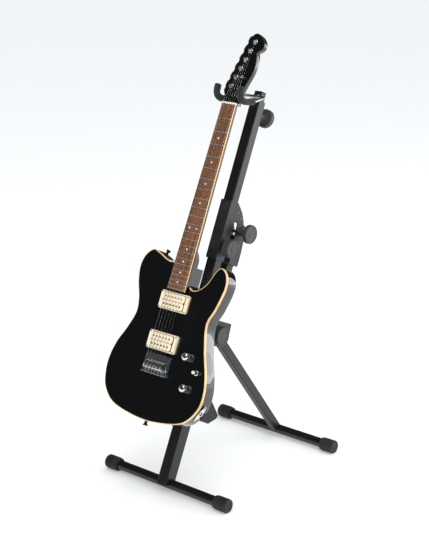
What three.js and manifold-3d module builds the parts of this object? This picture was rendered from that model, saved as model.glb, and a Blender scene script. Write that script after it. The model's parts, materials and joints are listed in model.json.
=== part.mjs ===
// A solid-body electric guitar resting on a folding stand with a height-adjustable, tilting post.
// Millimetres, +Z up, X across the stand, the guitar's face towards -Y.
import * as THREE from "three";
import { mergeVertices } from "three/addons/utils/BufferGeometryUtils.js";
import Module from "manifold-3d";

const wasm = await Module();
wasm.setup();

const DEG = Math.PI / 180;
const GAP = 0.3;
const LONG = 1000; // reach of a cutting tool that passes right through

// Feet: a round tube with a rubber cap on each end, and a small flat under each cap.
const FOOT_R = 12.5;
const FOOT_WALL = 1.5;
const CAP_R = 17.5;
const CAP_LENGTH = 41;
const CAP_END_WALL = 5;
const CAP_EDGE = 3.5;
const CAP_FLAT = 0.4;
const FOOT_Z = CAP_R - CAP_FLAT;
const FRONT_SPAN = 403;
const REAR_SPAN = 393;
const REAR_FOOT_Y = 443.5;

// The front leg's frame starts on the front foot's axis: Z runs up the leg, Y square to it and back.
const LEG_TILT = 24.9 * DEG;
const LEG = { half: 15, front: -22.5, rear: 13.9, bottom: -6, top: 422, wall: 1.5 };
const EXTENSION = { half: 12, front: -20.7, rear: 7.3, bottom: 175, top: 640, wall: 1.8 };
const BRACKET = { half: 18.2, front: -25.6, back: 17.5, bottom: 360, top: 424.5, slot: 10.8 };
const FORK = { half: 19.5, channel: 16.95, floor: 597, bottom: 566 };
const REAR_PIVOT = { y: 36.2, z: 382.7 };
const TILT_PIVOT = { y: -12.6, z: 613.8 };
const TILT_CLAMP_RISE = 37.2;
const TILT_RANGE = 15;
const REAR_LEG = { halfX: 10.1, halfY: 12, wall: 1.5, beyond: 13 };

// The post's frame has the same origin and a slightly steeper lean.
const POST_TILT = 24.16 * DEG;
const POST = { half: 14.5, front: -66, rear: -38.6, bottom: 190, top: 976, wall: 2 };
const SLEEVE = { half: 16.65, front: -69.4, rear: -36.6, bottom: 568.5, top: 718 };
const EAR_INNER = 14.4;
const NECK_TUBE = { half: 11.5, front: -62.7, rear: -42.1, bottom: 700, top: 997, wall: 1.8 };
const CRADLE = { low: 192, high: 224, half: 18.5, rodY: -96, rodZ: 206, rodR: 7, reach: 142 };

// Clamp screws and knobs
const BOLT_R = 4;
const BOLT_HOLE_R = 4.3;
const BOLT_HEAD_R = 7;
const BOLT_HEAD_T = 4;
const HEIGHT_KNOB = { y: -4.3, z: 389 };
const POST_KNOB = { y: -52.3, z: 602 };
const NECK_KNOB_Z = 944;
const KNOB_R = 24;
const HUB_R = 9;
const KNOB_EDGE = 2.5;

// The guitar's frame: X to the treble side, Z up the neck from the saddle line, Y towards the back.
const GUITAR_TILT = 25.02 * DEG;
const GUITAR_ORIGIN = [0, -27.64, 346.84];
const BODY_DEPTH = 40;
const BODY_EDGE = 3;
const BINDING_WIDTH = 2;
const BINDING_DEPTH = 6;
const SCALE = 648;
const FRETS = 22;
const FRET_WIDTH = 2.2;
const FRET_HEIGHT = 1;
const BOARD = { end: 178, top: 11, under: 5.2, nutHalf: 21.5, endHalf: 28.2 };
const HEEL = { end: 176.5, top: 262, back: -16, half: 28 };
const HEAD = { face: 3, back: -11 };
const NECK_BACK = -10.5;
const STRING_R = 0.45;
const STRING_AT_SADDLE = 15.2;
const STRING_AT_NUT = 13.1;
const BRIDGE_SPREAD = 10.4;
const NUT_SPREAD = 7.1;
const POSTS = { x: -14, z: 695, stepX: 7.12, stepZ: 23 };
const POST_TOP = 11;
const STRING_AT_POST = 7.5;
const KEY_REACH = 20; // from the first string post to its key's inner end
const KEY_REACH_STEP = 0.8; // the head widens behind each further post
const TOGGLE = { x: 123, z: 2 };
const JACK = { x: 152.7, y: 18.0, z: -87.6, turn: -27.8 * DEG, halfLong: 23.0, halfWide: 7.5 };
const HEEL_BLOCK = { x0: -38, z0: 190, top: 243 };
const PAD = { outer: [-156, 154], width: 36, slant: 8, drop: 32 };
const PAD_CREASE = { y: 28, z: -94, rise: 11.5 * DEG };
const NECK_PLATE = { half: 25.5, z0: 181, z1: 241, thick: 2 };

// ---------- materials ----------

function finish(colour, roughness, metalness) {
  return new THREE.MeshStandardMaterial({ color: colour, roughness, metalness });
}

const STEEL_BLACK = finish(0x1a1b1d, 0.42, 0.3);
const FOOT_BLACK = finish(0x141517, 0.3, 0.3);
const BRACKET_BLACK = finish(0x2a2b2d, 0.5, 0.1);
const KNOB_GREY = finish(0x36383b, 0.55, 0);
const RUBBER = finish(0x2b2c2e, 0.8, 0);
const FOAM = finish(0x303235, 0.9, 0);
const BLACK_GLOSS = finish(0x07080a, 0.08, 0);
const IVORY = finish(0xd9bf86, 0.35, 0);
const CREAM = finish(0xe6dcc0, 0.4, 0);
const ROSEWOOD = finish(0x6b4332, 0.55, 0);
const BONE = finish(0xe9e4d6, 0.4, 0);
const CHROME = finish(0xc9cbcd, 0.15, 1);
const STRING_STEEL = finish(0xb9b6ae, 0.3, 1);
const ZINC = finish(0x8d9094, 0.35, 1);

// ---------- solids ----------

function toSolid(geometry) {
  const bare = geometry.index ? geometry.toNonIndexed() : geometry.clone();
  bare.deleteAttribute("normal");
  bare.deleteAttribute("uv");
  const merged = mergeVertices(bare, 1e-3);
  return new wasm.Manifold(
    new wasm.Mesh({
      numProp: 3,
      vertProperties: merged.attributes.position.array,
      triVerts: new Uint32Array(merged.index.array),
    }),
  );
}

function toGeometry(manifold) {
  const mesh = manifold.getMesh();
  const geometry = new THREE.BufferGeometry();
  geometry.setAttribute("position", new THREE.BufferAttribute(new Float32Array(mesh.vertProperties), 3));
  geometry.setIndex(new THREE.BufferAttribute(new Uint32Array(mesh.triVerts), 1));
  geometry.computeVertexNormals();
  return geometry;
}

function join(first, ...others) {
  return toGeometry(others.reduce((sum, next) => sum.add(toSolid(next)), toSolid(first)));
}

function cut(first, ...tools) {
  return toGeometry(tools.reduce((rest, tool) => rest.subtract(toSolid(tool)), toSolid(first)));
}

function box(x0, x1, y0, y1, z0, z1) {
  const geometry = new THREE.BoxGeometry(x1 - x0, y1 - y0, z1 - z0);
  return geometry.translate((x0 + x1) / 2, (y0 + y1) / 2, (z0 + z1) / 2);
}

function rodX(radius, x0, x1, y, z, sides = 14) {
  const geometry = new THREE.CylinderGeometry(radius, radius, x1 - x0, sides);
  return geometry.rotateZ(Math.PI / 2).translate((x0 + x1) / 2, y, z);
}

function rodY(radius, y0, y1, x, z, sides = 14) {
  const geometry = new THREE.CylinderGeometry(radius, radius, y1 - y0, sides);
  return geometry.translate(x, (y0 + y1) / 2, z);
}

// A side outline in (Y, Z), given thickness from x0 to x1.
function sidePlate(shape, x0, x1, curveSegments = 8) {
  const geometry = new THREE.ExtrudeGeometry(shape, { depth: x1 - x0, bevelEnabled: false, curveSegments });
  const turn = new THREE.Matrix4().makeBasis(
    new THREE.Vector3(0, 1, 0),
    new THREE.Vector3(0, 0, 1),
    new THREE.Vector3(1, 0, 0),
  );
  return geometry.translate(0, 0, x0).applyMatrix4(turn);
}

// An outline in the guitar's (X, Z) plane, between two heights above the body's top.
function slab(shape, low, high, curveSegments = 8) {
  const options = { depth: high - low, bevelEnabled: false, curveSegments };
  const geometry = new THREE.ExtrudeGeometry(shape, options);
  return geometry.translate(0, 0, low).rotateX(Math.PI / 2);
}

// A closed outline with every corner rounded by the same radius.
function rounded(corners, radius) {
  const shape = new THREE.Shape();
  const points = corners.map(([x, y]) => new THREE.Vector2(x, y));
  points.forEach((corner, i) => {
    const before = points[(i + points.length - 1) % points.length];
    const after = points[(i + 1) % points.length];
    const start = corner.clone().add(before.clone().sub(corner).setLength(radius));
    const end = corner.clone().add(after.clone().sub(corner).setLength(radius));
    if (i === 0) shape.moveTo(start.x, start.y);
    else shape.lineTo(start.x, start.y);
    shape.quadraticCurveTo(corner.x, corner.y, end.x, end.y);
  });
  shape.closePath();
  return shape;
}

// A turned piece about the X axis: its profile is [radius, x] pairs from axis to axis.
function turnedX(profile, y, z, sides = 24) {
  const points = profile.map(([radius, x]) => new THREE.Vector2(radius, x));
  const geometry = new THREE.LatheGeometry(points, sides);
  return geometry.rotateZ(-Math.PI / 2).translate(0, y, z);
}

// A turned piece standing on the guitar's top: its profile is [radius, height] pairs from axis to axis.
function turnedUp(profile, x, z, sides = 20) {
  const points = profile.map(([radius, height]) => new THREE.Vector2(radius, height));
  const geometry = new THREE.LatheGeometry(points, sides);
  return geometry.rotateX(Math.PI).translate(x, 0, z);
}

// A route through given points with a ring at each point, so that its bends stay exactly where they are.
class Route extends THREE.Curve {
  constructor(points) {
    super();
    this.points = points.map((p) => new THREE.Vector3(...p));
  }

  getPoint(t) {
    const place = Math.min(Math.max(t, 0), 1) * (this.points.length - 1);
    const index = Math.min(Math.floor(place), this.points.length - 2);
    return this.points[index].clone().lerp(this.points[index + 1], place - index);
  }

  getUtoTmapping(u) {
    return u;
  }
}

function swept(path, radius, steps, sides) {
  const section = new THREE.Shape();
  section.absarc(0, 0, radius, 0, 2 * Math.PI);
  return new THREE.ExtrudeGeometry(section, {
    extrudePath: path,
    steps,
    curveSegments: sides / 2,
  });
}

function mesh(name, geometry, material) {
  const made = new THREE.Mesh(geometry, material);
  made.name = name;
  return made;
}

function frame(parent, position, tilt) {
  const group = new THREE.Group();
  group.position.set(...position);
  group.rotation.x = tilt;
  parent.add(group);
  return group;
}

// ---------- stand: feet ----------

function footTube(span) {
  const ring = new THREE.Shape();
  ring.absarc(0, 0, FOOT_R, 0, 2 * Math.PI);
  const bore = new THREE.Path();
  bore.absarc(0, 0, FOOT_R - FOOT_WALL, 0, 2 * Math.PI);
  ring.holes.push(bore);
  const half = span / 2 - CAP_END_WALL - GAP;
  return sidePlate(ring, -half, half, 12);
}

function cap(span, side) {
  const end = span / 2;
  const mouth = end - CAP_LENGTH;
  const profile = [
    [0, end],
    [CAP_R - CAP_EDGE, end],
    [CAP_R - 1, end - 1.2],
    [CAP_R, end - CAP_EDGE],
    [CAP_R, mouth + 1.5],
    [CAP_R - 1.5, mouth],
    [FOOT_R + GAP, mouth],
    [FOOT_R + GAP, end - CAP_END_WALL],
    [0, end - CAP_END_WALL],
  ].reverse();
  const made = cut(turnedX(profile, 0, 0), box(-LONG, LONG, -CAP_R, CAP_R, -CAP_R - 1, -FOOT_Z));
  return side < 0 ? made.rotateZ(Math.PI) : made;
}

function addFoot(parent, label, span, y) {
  const group = frame(parent, [0, y, FOOT_Z], 0);
  group.add(mesh(label + "_foot_tube", footTube(span), FOOT_BLACK));
  group.add(mesh(label + "_cap_left", cap(span, -1), RUBBER));
  group.add(mesh(label + "_cap_right", cap(span, 1), RUBBER));
}

// ---------- stand: legs ----------

function boxTube(tube, halfX, front, rear) {
  const outer = box(-halfX, halfX, front, rear, tube.bottom, tube.top);
  const inner = box(-halfX + tube.wall, halfX - tube.wall, front + tube.wall, rear - tube.wall, -LONG, LONG);
  return cut(outer, inner);
}

function frontLegTube() {
  return cut(
    boxTube(LEG, LEG.half, LEG.front, LEG.rear),
    rodX(FOOT_R + GAP, -LONG, LONG, 0, 0, 28),
    rodX(BOLT_HOLE_R, 0, LONG, HEIGHT_KNOB.y, HEIGHT_KNOB.z),
  );
}

function legBracket() {
  const side = rounded(
    [
      [BRACKET.front, BRACKET.bottom],
      [BRACKET.front, BRACKET.top],
      [56, BRACKET.top],
      [60.5, 381],
      [48, BRACKET.bottom],
    ],
    4,
  );
  return cut(
    sidePlate(side, -BRACKET.half, BRACKET.half, 4),
    box(-LEG.half - GAP, LEG.half + GAP, LEG.front - GAP, LEG.rear + GAP, 0, LEG.top + GAP),
    box(-EXTENSION.half - GAP, EXTENSION.half + GAP, EXTENSION.front - GAP, EXTENSION.rear + GAP, 0, LONG),
    box(-BRACKET.slot, BRACKET.slot, BRACKET.back, LONG, 0, LONG),
    rodX(BOLT_HOLE_R, -LONG, LONG, REAR_PIVOT.y, REAR_PIVOT.z),
    rodX(BOLT_HOLE_R, 0, LONG, HEIGHT_KNOB.y, HEIGHT_KNOB.z),
  );
}

// A bolt across the stand with a low domed head on each side.
function crossBolt(reach, y, z) {
  const profile = [
    [0, -reach - BOLT_HEAD_T],
    [BOLT_HEAD_R - 1.5, -reach - BOLT_HEAD_T],
    [BOLT_HEAD_R, -reach - BOLT_HEAD_T + 1.5],
    [BOLT_HEAD_R, -reach],
    [BOLT_R, -reach],
    [BOLT_R, reach],
    [BOLT_HEAD_R, reach],
    [BOLT_HEAD_R, reach + BOLT_HEAD_T - 1.5],
    [BOLT_HEAD_R - 1.5, reach + BOLT_HEAD_T],
    [0, reach + BOLT_HEAD_T],
  ];
  return turnedX(profile, y, z, 14);
}

// A clamp knob: screw, hub and a round grip. Heights run along the screw from its tip.
function knobProfile(tip, hubStart, gripStart, face) {
  return [
    [0, tip],
    [BOLT_R, tip],
    [BOLT_R, hubStart],
    [HUB_R, hubStart],
    [HUB_R + 1.5, gripStart],
    [KNOB_R - KNOB_EDGE, gripStart],
    [KNOB_R, gripStart + KNOB_EDGE],
    [KNOB_R, face - KNOB_EDGE],
    [KNOB_R - KNOB_EDGE, face],
    [0, face],
  ];
}

function addLegs(root) {
  const leg = frame(root, [0, 0, FOOT_Z], -LEG_TILT);
  leg.add(mesh("front_leg_tube", frontLegTube(), STEEL_BLACK));
  leg.add(mesh("leg_bracket", legBracket(), BRACKET_BLACK));
  leg.add(mesh("rear_leg_pivot_bolt", crossBolt(BRACKET.half + GAP, REAR_PIVOT.y, REAR_PIVOT.z), ZINC));
  const heightKnob = knobProfile(EXTENSION.half + GAP, BRACKET.half + GAP, 25, 50);
  leg.add(mesh("leg_height_knob", turnedX(heightKnob, HEIGHT_KNOB.y, HEIGHT_KNOB.z), KNOB_GREY));
  leg.add(mesh("extension_tube", extensionTube(), STEEL_BLACK));
  leg.add(mesh("tilt_fork", tiltFork(), BRACKET_BLACK));
  leg.add(mesh("tilt_pivot_bolt", crossBolt(FORK.half + GAP, TILT_PIVOT.y, TILT_PIVOT.z), ZINC));
  const tiltKnob = knobProfile(-FORK.half + GAP, FORK.half + GAP, 42, 54);
  const clampZ = TILT_PIVOT.z + TILT_CLAMP_RISE;
  leg.add(mesh("tilt_clamp_knob", turnedX(tiltKnob, TILT_PIVOT.y, clampZ), KNOB_GREY));

  const pivot = leg.localToWorld(new THREE.Vector3(0, REAR_PIVOT.y, REAR_PIVOT.z));
  const lean = Math.atan2(REAR_FOOT_Y - pivot.y, pivot.z - FOOT_Z);
  const reach = Math.hypot(REAR_FOOT_Y - pivot.y, pivot.z - FOOT_Z);
  const rear = frame(root, [0, REAR_FOOT_Y, FOOT_Z], lean);
  rear.add(mesh("rear_leg_tube", rearLegTube(reach), STEEL_BLACK));
}

function rearLegTube(reach) {
  const { halfX, halfY, wall, beyond } = REAR_LEG;
  const side = new THREE.Shape();
  side.moveTo(-halfY, 0);
  side.lineTo(halfY, 0);
  side.lineTo(halfY, reach);
  side.absarc(0, reach, halfY, 0, Math.PI);
  side.closePath();
  return cut(
    sidePlate(side, -halfX, halfX, 8),
    box(-halfX + wall, halfX - wall, -halfY + wall, halfY - wall, -LONG, reach - beyond),
    rodX(FOOT_R + GAP, -LONG, LONG, 0, 0, 28),
    rodX(BOLT_HOLE_R, -LONG, LONG, 0, reach),
  );
}

function extensionTube() {
  return cut(
    boxTube(EXTENSION, EXTENSION.half, EXTENSION.front, EXTENSION.rear),
    rodX(BOLT_HOLE_R, -LONG, LONG, TILT_PIVOT.y, TILT_PIVOT.z),
  );
}

// A collar on the extension tube with two cheeks that hold the tilting sleeve's ears between them.
function tiltFork() {
  const side = rounded(
    [
      [-25, FORK.bottom],
      [-25, 590],
      [-31, 602],
      [-31, 645],
      [-20, 655],
      [-4, 671],
      [6, 660],
      [12, 600],
      [12, FORK.bottom],
    ],
    3,
  );
  const { half, front, rear } = EXTENSION;
  return cut(
    sidePlate(side, -FORK.half, FORK.half, 3),
    box(-half - GAP, half + GAP, front - GAP, rear + GAP, 0, LONG),
    box(-FORK.channel, FORK.channel, -LONG, LONG, FORK.floor, LONG),
    rodX(BOLT_HOLE_R, -LONG, LONG, TILT_PIVOT.y, TILT_PIVOT.z),
    rodX(BOLT_HOLE_R, -LONG, LONG, TILT_PIVOT.y, TILT_PIVOT.z + TILT_CLAMP_RISE),
  );
}

// ---------- stand: tilting sleeve, post and neck rest ----------

// A point of the leg's frame in the post's frame.
function inPostFrame({ y, z }) {
  const turn = LEG_TILT - POST_TILT;
  return { y: y * Math.cos(turn) + z * Math.sin(turn), z: z * Math.cos(turn) - y * Math.sin(turn) };
}

// A slot that curves round the tilt pivot, long enough for the whole tilt.
function arcSlot(pivot) {
  const start = Math.PI / 2 - 1.5 * DEG;
  const end = Math.PI / 2 + (TILT_RANGE + 1.5) * DEG;
  const half = BOLT_HOLE_R + GAP;
  const slot = new THREE.Shape();
  slot.absarc(pivot.y, pivot.z, TILT_CLAMP_RISE + half, start, end);
  slot.absarc(pivot.y, pivot.z, TILT_CLAMP_RISE - half, end, start, true);
  slot.closePath();
  const centre = (angle) => [
    pivot.y + TILT_CLAMP_RISE * Math.cos(angle),
    pivot.z + TILT_CLAMP_RISE * Math.sin(angle),
  ];
  return [
    sidePlate(slot, -LONG, LONG, 3),
    rodX(half, -LONG, LONG, ...centre(start), 12),
    rodX(half, -LONG, LONG, ...centre(end), 12),
  ];
}

function tiltSleeve() {
  const pivot = inPostFrame(TILT_PIVOT);
  const ear = new THREE.Shape();
  ear.moveTo(SLEEVE.rear - 1.2, 714.5);
  ear.lineTo(SLEEVE.rear - 1.2, 666);
  ear.lineTo(-36, 670);
  ear.lineTo(-25, 670);
  ear.lineTo(-22, 666);
  ear.lineTo(pivot.y - 16, pivot.z);
  ear.absarc(pivot.y, pivot.z, 16, Math.PI, 2 * Math.PI);
  ear.lineTo(11, 650);
  ear.splineThru([
    new THREE.Vector2(4.6, 669.3),
    new THREE.Vector2(-11.7, 694.3),
    new THREE.Vector2(-33.1, 712.7),
  ]);
  ear.closePath();
  const knob = POST_KNOB;
  const holes = [
    [-26, 696.2],
    [-11.3, 684],
  ].map(([y, z]) => rodX(2.2, -LONG, LONG, y, z, 10));
  const shell = join(
    box(-SLEEVE.half, SLEEVE.half, SLEEVE.front, SLEEVE.rear, SLEEVE.bottom, SLEEVE.top),
    cut(sidePlate(ear, -SLEEVE.half, SLEEVE.half, 6), box(-EAR_INNER, EAR_INNER, -LONG, LONG, 0, LONG)),
    rodX(HUB_R, 0, 22, knob.y, knob.z),
  );
  return cut(
    shell,
    box(-POST.half - GAP, POST.half + GAP, POST.front - GAP, POST.rear + GAP, 0, LONG),
    rodX(BOLT_HOLE_R, 0, LONG, knob.y, knob.z),
    rodX(BOLT_HOLE_R, -LONG, LONG, pivot.y, pivot.z),
    ...arcSlot(pivot),
    ...holes,
  );
}

function postTube() {
  return cut(
    boxTube(POST, POST.half, POST.front, POST.rear),
    rodY(BOLT_HOLE_R, POST.rear - POST.wall - 1, POST.rear + 1, 0, NECK_KNOB_Z),
  );
}

// A clamp on the foot of the post with a round bar across its front.
function cradleBar() {
  const { low, high, half, rodY: y, rodZ: z, rodR, reach } = CRADLE;
  const clamp = join(
    box(-half, half, POST.front - 4, POST.rear + 4, low, high),
    box(-12, 12, y, POST.front - 3, z - 11, z + 11),
    rodX(rodR, -reach, reach, y, z),
  );
  return cut(clamp, box(-POST.half - GAP, POST.half + GAP, POST.front - GAP, POST.rear + GAP, 0, LONG));
}

function neckRestKnob() {
  const start = NECK_TUBE.rear + GAP;
  const profile = knobProfile(start, POST.rear + GAP, POST.rear + 26, POST.rear + 40);
  const points = profile.map(([radius, height]) => new THREE.Vector2(radius, height));
  return new THREE.LatheGeometry(points, 28).translate(0, 0, NECK_KNOB_Z);
}

function neckRestPlug() {
  const { half, front, rear, top } = NECK_TUBE;
  return box(-half, half, front, rear, top + GAP, top + 3);
}

// One arm of the yoke, from the middle of the rest round to its upturned tip.
const YOKE_ARM = [
  [22, -70, 983],
  [31, -76, 981],
  [35.5, -92, 973],
  [36.5, -115, 961],
  [36.5, -145, 952],
  [36.5, -164, 953],
  [36.5, -172.5, 961],
  [36.5, -174.5, 974],
];
const YOKE_R = 4;
const YOKE_FOAM_R = 8.4;

function yokeCurve(points) {
  return new THREE.CatmullRomCurve3(points.map((p) => new THREE.Vector3(...p)));
}

function yokeRod() {
  const left = YOKE_ARM.map(([x, y, z]) => [-x, y, z]).reverse();
  const curve = yokeCurve([...left, [0, -69, 983], ...YOKE_ARM]);
  return join(swept(curve, YOKE_R, 36, 8), box(-8, 8, -68, NECK_TUBE.front - GAP, 976, 990));
}

function yokeFoam(side) {
  const arm = YOKE_ARM.slice(3).map(([x, y, z]) => [side * x, y, z]);
  const tip = [side * 36.5, -175, 980];
  const outer = swept(yokeCurve([...arm, tip]), YOKE_FOAM_R, 12, 12);
  const full = YOKE_ARM.map(([x, y, z]) => [side * x, y, z]);
  const mirrored = YOKE_ARM.map(([x, y, z]) => [-side * x, y, z]).reverse();
  const bore = swept(yokeCurve([...mirrored, [0, -69, 983], ...full]), YOKE_R + 0.6, 36, 8);
  return cut(outer, bore);
}

function addPost(root) {
  const post = frame(root, [0, 0, FOOT_Z], -POST_TILT);
  post.add(mesh("tilt_sleeve", tiltSleeve(), BRACKET_BLACK));
  const knob = knobProfile(POST.half + GAP, 22 + GAP, 29, 48.5);
  post.add(mesh("post_clamp_knob", turnedX(knob, POST_KNOB.y, POST_KNOB.z), KNOB_GREY));
  post.add(mesh("post_tube", postTube(), STEEL_BLACK));
  post.add(mesh("cradle_bar", cradleBar(), STEEL_BLACK));
  const restTube = boxTube(NECK_TUBE, NECK_TUBE.half, NECK_TUBE.front, NECK_TUBE.rear);
  post.add(mesh("neck_rest_tube", restTube, STEEL_BLACK));
  post.add(mesh("neck_rest_plug", neckRestPlug(), BRACKET_BLACK));
  post.add(mesh("yoke_rod", yokeRod(), STEEL_BLACK));
  post.add(mesh("yoke_foam_left", yokeFoam(-1), FOAM));
  post.add(mesh("yoke_foam_right", yokeFoam(1), FOAM));
  post.add(mesh("neck_rest_knob", neckRestKnob(), KNOB_GREY));
}

// ---------- guitar ----------

// The body's edge, as smooth stretches that meet at corners: round the bass side to the tail,
// up the treble side to the horn, and down the cutaway to the neck.
const BODY_POINTS = [
  [-40, 243],
  [-60, 247],
  [-93, 260],
  [-112, 263.5],
  [-132, 245],
  [-139.5, 215],
  [-132, 178],
  [-116, 138],
  [-111, 103],
  [-125, 62],
  [-145.5, 20],
  [-155.5, -20],
  [-154, -60],
  [-138, -99],
  [-96, -129],
  [-10, -142.3],
  [60, -138],
  [124, -120],
  [156, -80],
  [160.5, -40],
  [151, 0],
  [127.5, 60],
  [112.5, 118],
  [126, 160],
  [137, 212],
  [130, 243],
  [112, 257],
  [98, 248],
  [80, 212],
  [60, 193],
  [40, 188.5],
  [28, 198],
];

function bodyEdge() {
  const curve = new THREE.SplineCurve(BODY_POINTS.map(([x, z]) => new THREE.Vector2(x, z)));
  return curve.getSpacedPoints(88);
}

// The same closed edge moved outwards (or inwards, when the distance is negative).
function offsetEdge(points, distance) {
  return points.map((point, i) => {
    const before = points[(i + points.length - 1) % points.length];
    const after = points[(i + 1) % points.length];
    const along = after.clone().sub(before).normalize();
    return new THREE.Vector2(point.x - along.y * distance, point.y + along.x * distance);
  });
}

function outwardSign(points) {
  return THREE.ShapeUtils.area(points) > 0 ? -1 : 1;
}

const EDGE = bodyEdge();
const OUT = outwardSign(EDGE);

function bodySlab(distance, low, high) {
  return slab(new THREE.Shape(offsetEdge(EDGE, OUT * distance)), low, high);
}

function guitarBody() {
  const blank = new THREE.ExtrudeGeometry(new THREE.Shape(EDGE), {
    depth: BODY_DEPTH + 5 - BODY_EDGE,
    bevelThickness: BODY_EDGE,
    bevelSize: BODY_EDGE,
    bevelOffset: -BODY_EDGE,
    bevelSegments: 2,
  });
  blank.translate(0, 0, -BODY_DEPTH + BODY_EDGE).rotateX(Math.PI / 2);
  const channel = cut(
    bodySlab(8, -BINDING_DEPTH - GAP, 8),
    bodySlab(-BINDING_WIDTH - GAP, -BINDING_DEPTH - 2, 9),
  );
  const pocket = box(-HEEL.half - GAP, HEEL.half + GAP, -LONG, -HEEL.back + GAP, HEEL.end - GAP, LONG);
  const block = box(HEEL_BLOCK.x0, HEEL.half, -HEEL.back + GAP, BODY_DEPTH, HEEL_BLOCK.z0, HEEL_BLOCK.top);
  return cut(join(blank, block), box(-LONG, LONG, -LONG, 0, -LONG, LONG), channel, pocket);
}

function bodyBinding() {
  const ring = cut(bodySlab(0, -BINDING_DEPTH, 0), bodySlab(-BINDING_WIDTH, -BINDING_DEPTH - 2, 9));
  const pocket = box(-HEEL.half - GAP, HEEL.half + GAP, -LONG, LONG, HEEL.end, LONG);
  return cut(ring, pocket);
}

function boardHalf(z) {
  return BOARD.nutHalf + ((SCALE - z) / (SCALE - BOARD.end)) * (BOARD.endHalf - BOARD.nutHalf);
}

// The neck's shaft: a D-shaped section that widens towards the body.
function neckShaft() {
  const low = HEEL.top - 6;
  const high = SCALE + 8;
  const section = new THREE.Shape();
  section.moveTo(-1, 0);
  section.absellipse(0, 0, 1, 1, Math.PI, 2 * Math.PI);
  section.closePath();
  const shaft = new THREE.ExtrudeGeometry(section, {
    depth: high - low,
    steps: 1,
    bevelEnabled: false,
    curveSegments: 12,
  });
  const place = shaft.attributes.position;
  const top = BOARD.under - GAP;
  for (let i = 0; i < place.count; i += 1) {
    const z = low + place.getZ(i);
    place.setXYZ(i, place.getX(i) * boardHalf(z), -top - place.getY(i) * (top - NECK_BACK), z);
  }
  return flipped(shaft);
}

// The same surface with its faces turned round.
function flipped(geometry) {
  const bare = geometry.index ? geometry.toNonIndexed() : geometry;
  const place = bare.attributes.position;
  for (let i = 0; i < place.count; i += 3) {
    const second = new THREE.Vector3().fromBufferAttribute(place, i + 1);
    const third = new THREE.Vector3().fromBufferAttribute(place, i + 2);
    place.setXYZ(i + 1, third.x, third.y, third.z);
    place.setXYZ(i + 2, second.x, second.y, second.z);
  }
  return bare;
}

function headOutline() {
  const shape = new THREE.Shape();
  shape.moveTo(-21.5, SCALE);
  shape.bezierCurveTo(-21.5, 662, -27, 668, -34, 683);
  shape.lineTo(2, 815);
  shape.bezierCurveTo(9, 829, 16, 836, 30, 829);
  shape.bezierCurveTo(46, 821, 57, 806, 48, 792);
  shape.lineTo(35, 783.5);
  shape.bezierCurveTo(44, 765, 43, 740, 34, 715);
  shape.bezierCurveTo(27, 696, 21.5, 680, 21.5, SCALE);
  shape.closePath();
  return shape;
}

function postPlace(index) {
  return [POSTS.x + index * POSTS.stepX, POSTS.z + index * POSTS.stepZ];
}

const STRING_INDEX = [0, 1, 2, 3, 4, 5];

function guitarNeck() {
  const heel = box(-HEEL.half, HEEL.half, -BOARD.under + GAP, -HEEL.back, HEEL.end, HEEL.top);
  const head = slab(headOutline(), HEAD.back, HEAD.face, 8);
  const rise = box(-BOARD.nutHalf, BOARD.nutHalf, -BOARD.under + GAP, 0, SCALE - 4, SCALE + 5);
  const bores = STRING_INDEX.map((i) => {
    const [x, z] = postPlace(i);
    return rodY(5.3, -LONG, LONG, x, z, 10);
  });
  return cut(join(neckShaft(), heel, head, rise), ...bores);
}

// A slab that tapers with the neck, with a bar across it at every fret.
function fretboard() {
  const end = SCALE - GAP;
  const shape = new THREE.Shape();
  shape.moveTo(-boardHalf(BOARD.end), BOARD.end);
  shape.lineTo(boardHalf(BOARD.end), BOARD.end);
  shape.lineTo(boardHalf(end), end);
  shape.lineTo(-boardHalf(end), end);
  shape.closePath();
  const bars = Array.from({ length: FRETS }, (_, i) => {
    const z = SCALE * 2 ** (-(i + 1) / 12);
    const half = boardHalf(z) - 1;
    return box(-half, half, -BOARD.top - FRET_HEIGHT, -BOARD.top + 1, z - FRET_WIDTH / 2, z + FRET_WIDTH / 2);
  });
  return join(slab(shape, BOARD.under, BOARD.top), ...bars);
}

function stringNut() {
  return box(-BOARD.nutHalf, BOARD.nutHalf, -12.3, -BOARD.under, SCALE, SCALE + 4.6);
}

function pickupRing(z, height) {
  const outer = rounded(cornersOf(44.5, 22.7), 5);
  const inner = rounded(cornersOf(35.2, 19.2), 2);
  outer.holes.push(inner);
  return slab(outer, GAP, height, 3).translate(0, 0, z);
}

function cornersOf(halfX, halfZ) {
  return [
    [-halfX, -halfZ],
    [halfX, -halfZ],
    [halfX, halfZ],
    [-halfX, halfZ],
  ];
}

// Two coils side by side on one baseplate.
function pickup(z, top) {
  const coil = rounded(cornersOf(34.8, 9.1), 4);
  return join(
    box(-34, 34, -3, -GAP, z - 18.5, z + 18.5),
    slab(coil, 2, top, 4).translate(0, 0, z + 9.6),
    slab(coil, 2, top, 4).translate(0, 0, z - 9.6),
  );
}

function bridgePlate() {
  const plate = slab(rounded(cornersOf(40, 24), 3), GAP, 2.6, 3).translate(0, 0, -6);
  return join(plate, box(-40, 40, -9, -GAP, -30, -28));
}

// Six saddles side by side, held in one row by the bar under them.
function bridgeSaddles() {
  const blocks = STRING_INDEX.map((i) => {
    const x = (i - 2.5) * BRIDGE_SPREAD;
    return box(x - 4.8, x + 4.8, -STRING_AT_SADDLE + STRING_R + GAP, -4, -19, 2);
  });
  return join(box(-31, 31, -5.5, -2.9, -19, 2), ...blocks);
}

function controlKnob(x, z) {
  const profile = [
    [0, 1],
    [9.5, 1],
    [9.5, 12],
    [8.6, 15.5],
    [6, 17.6],
    [0, 18.2],
  ];
  return turnedUp(profile, x, z);
}

function toggleNut() {
  const profile = [
    [4, GAP],
    [6.8, GAP],
    [6.8, 2.2],
    [5.6, 3.4],
    [4, 3.4],
    [4, GAP],
  ];
  return turnedUp(profile, TOGGLE.x, TOGGLE.z, 16);
}

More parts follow.
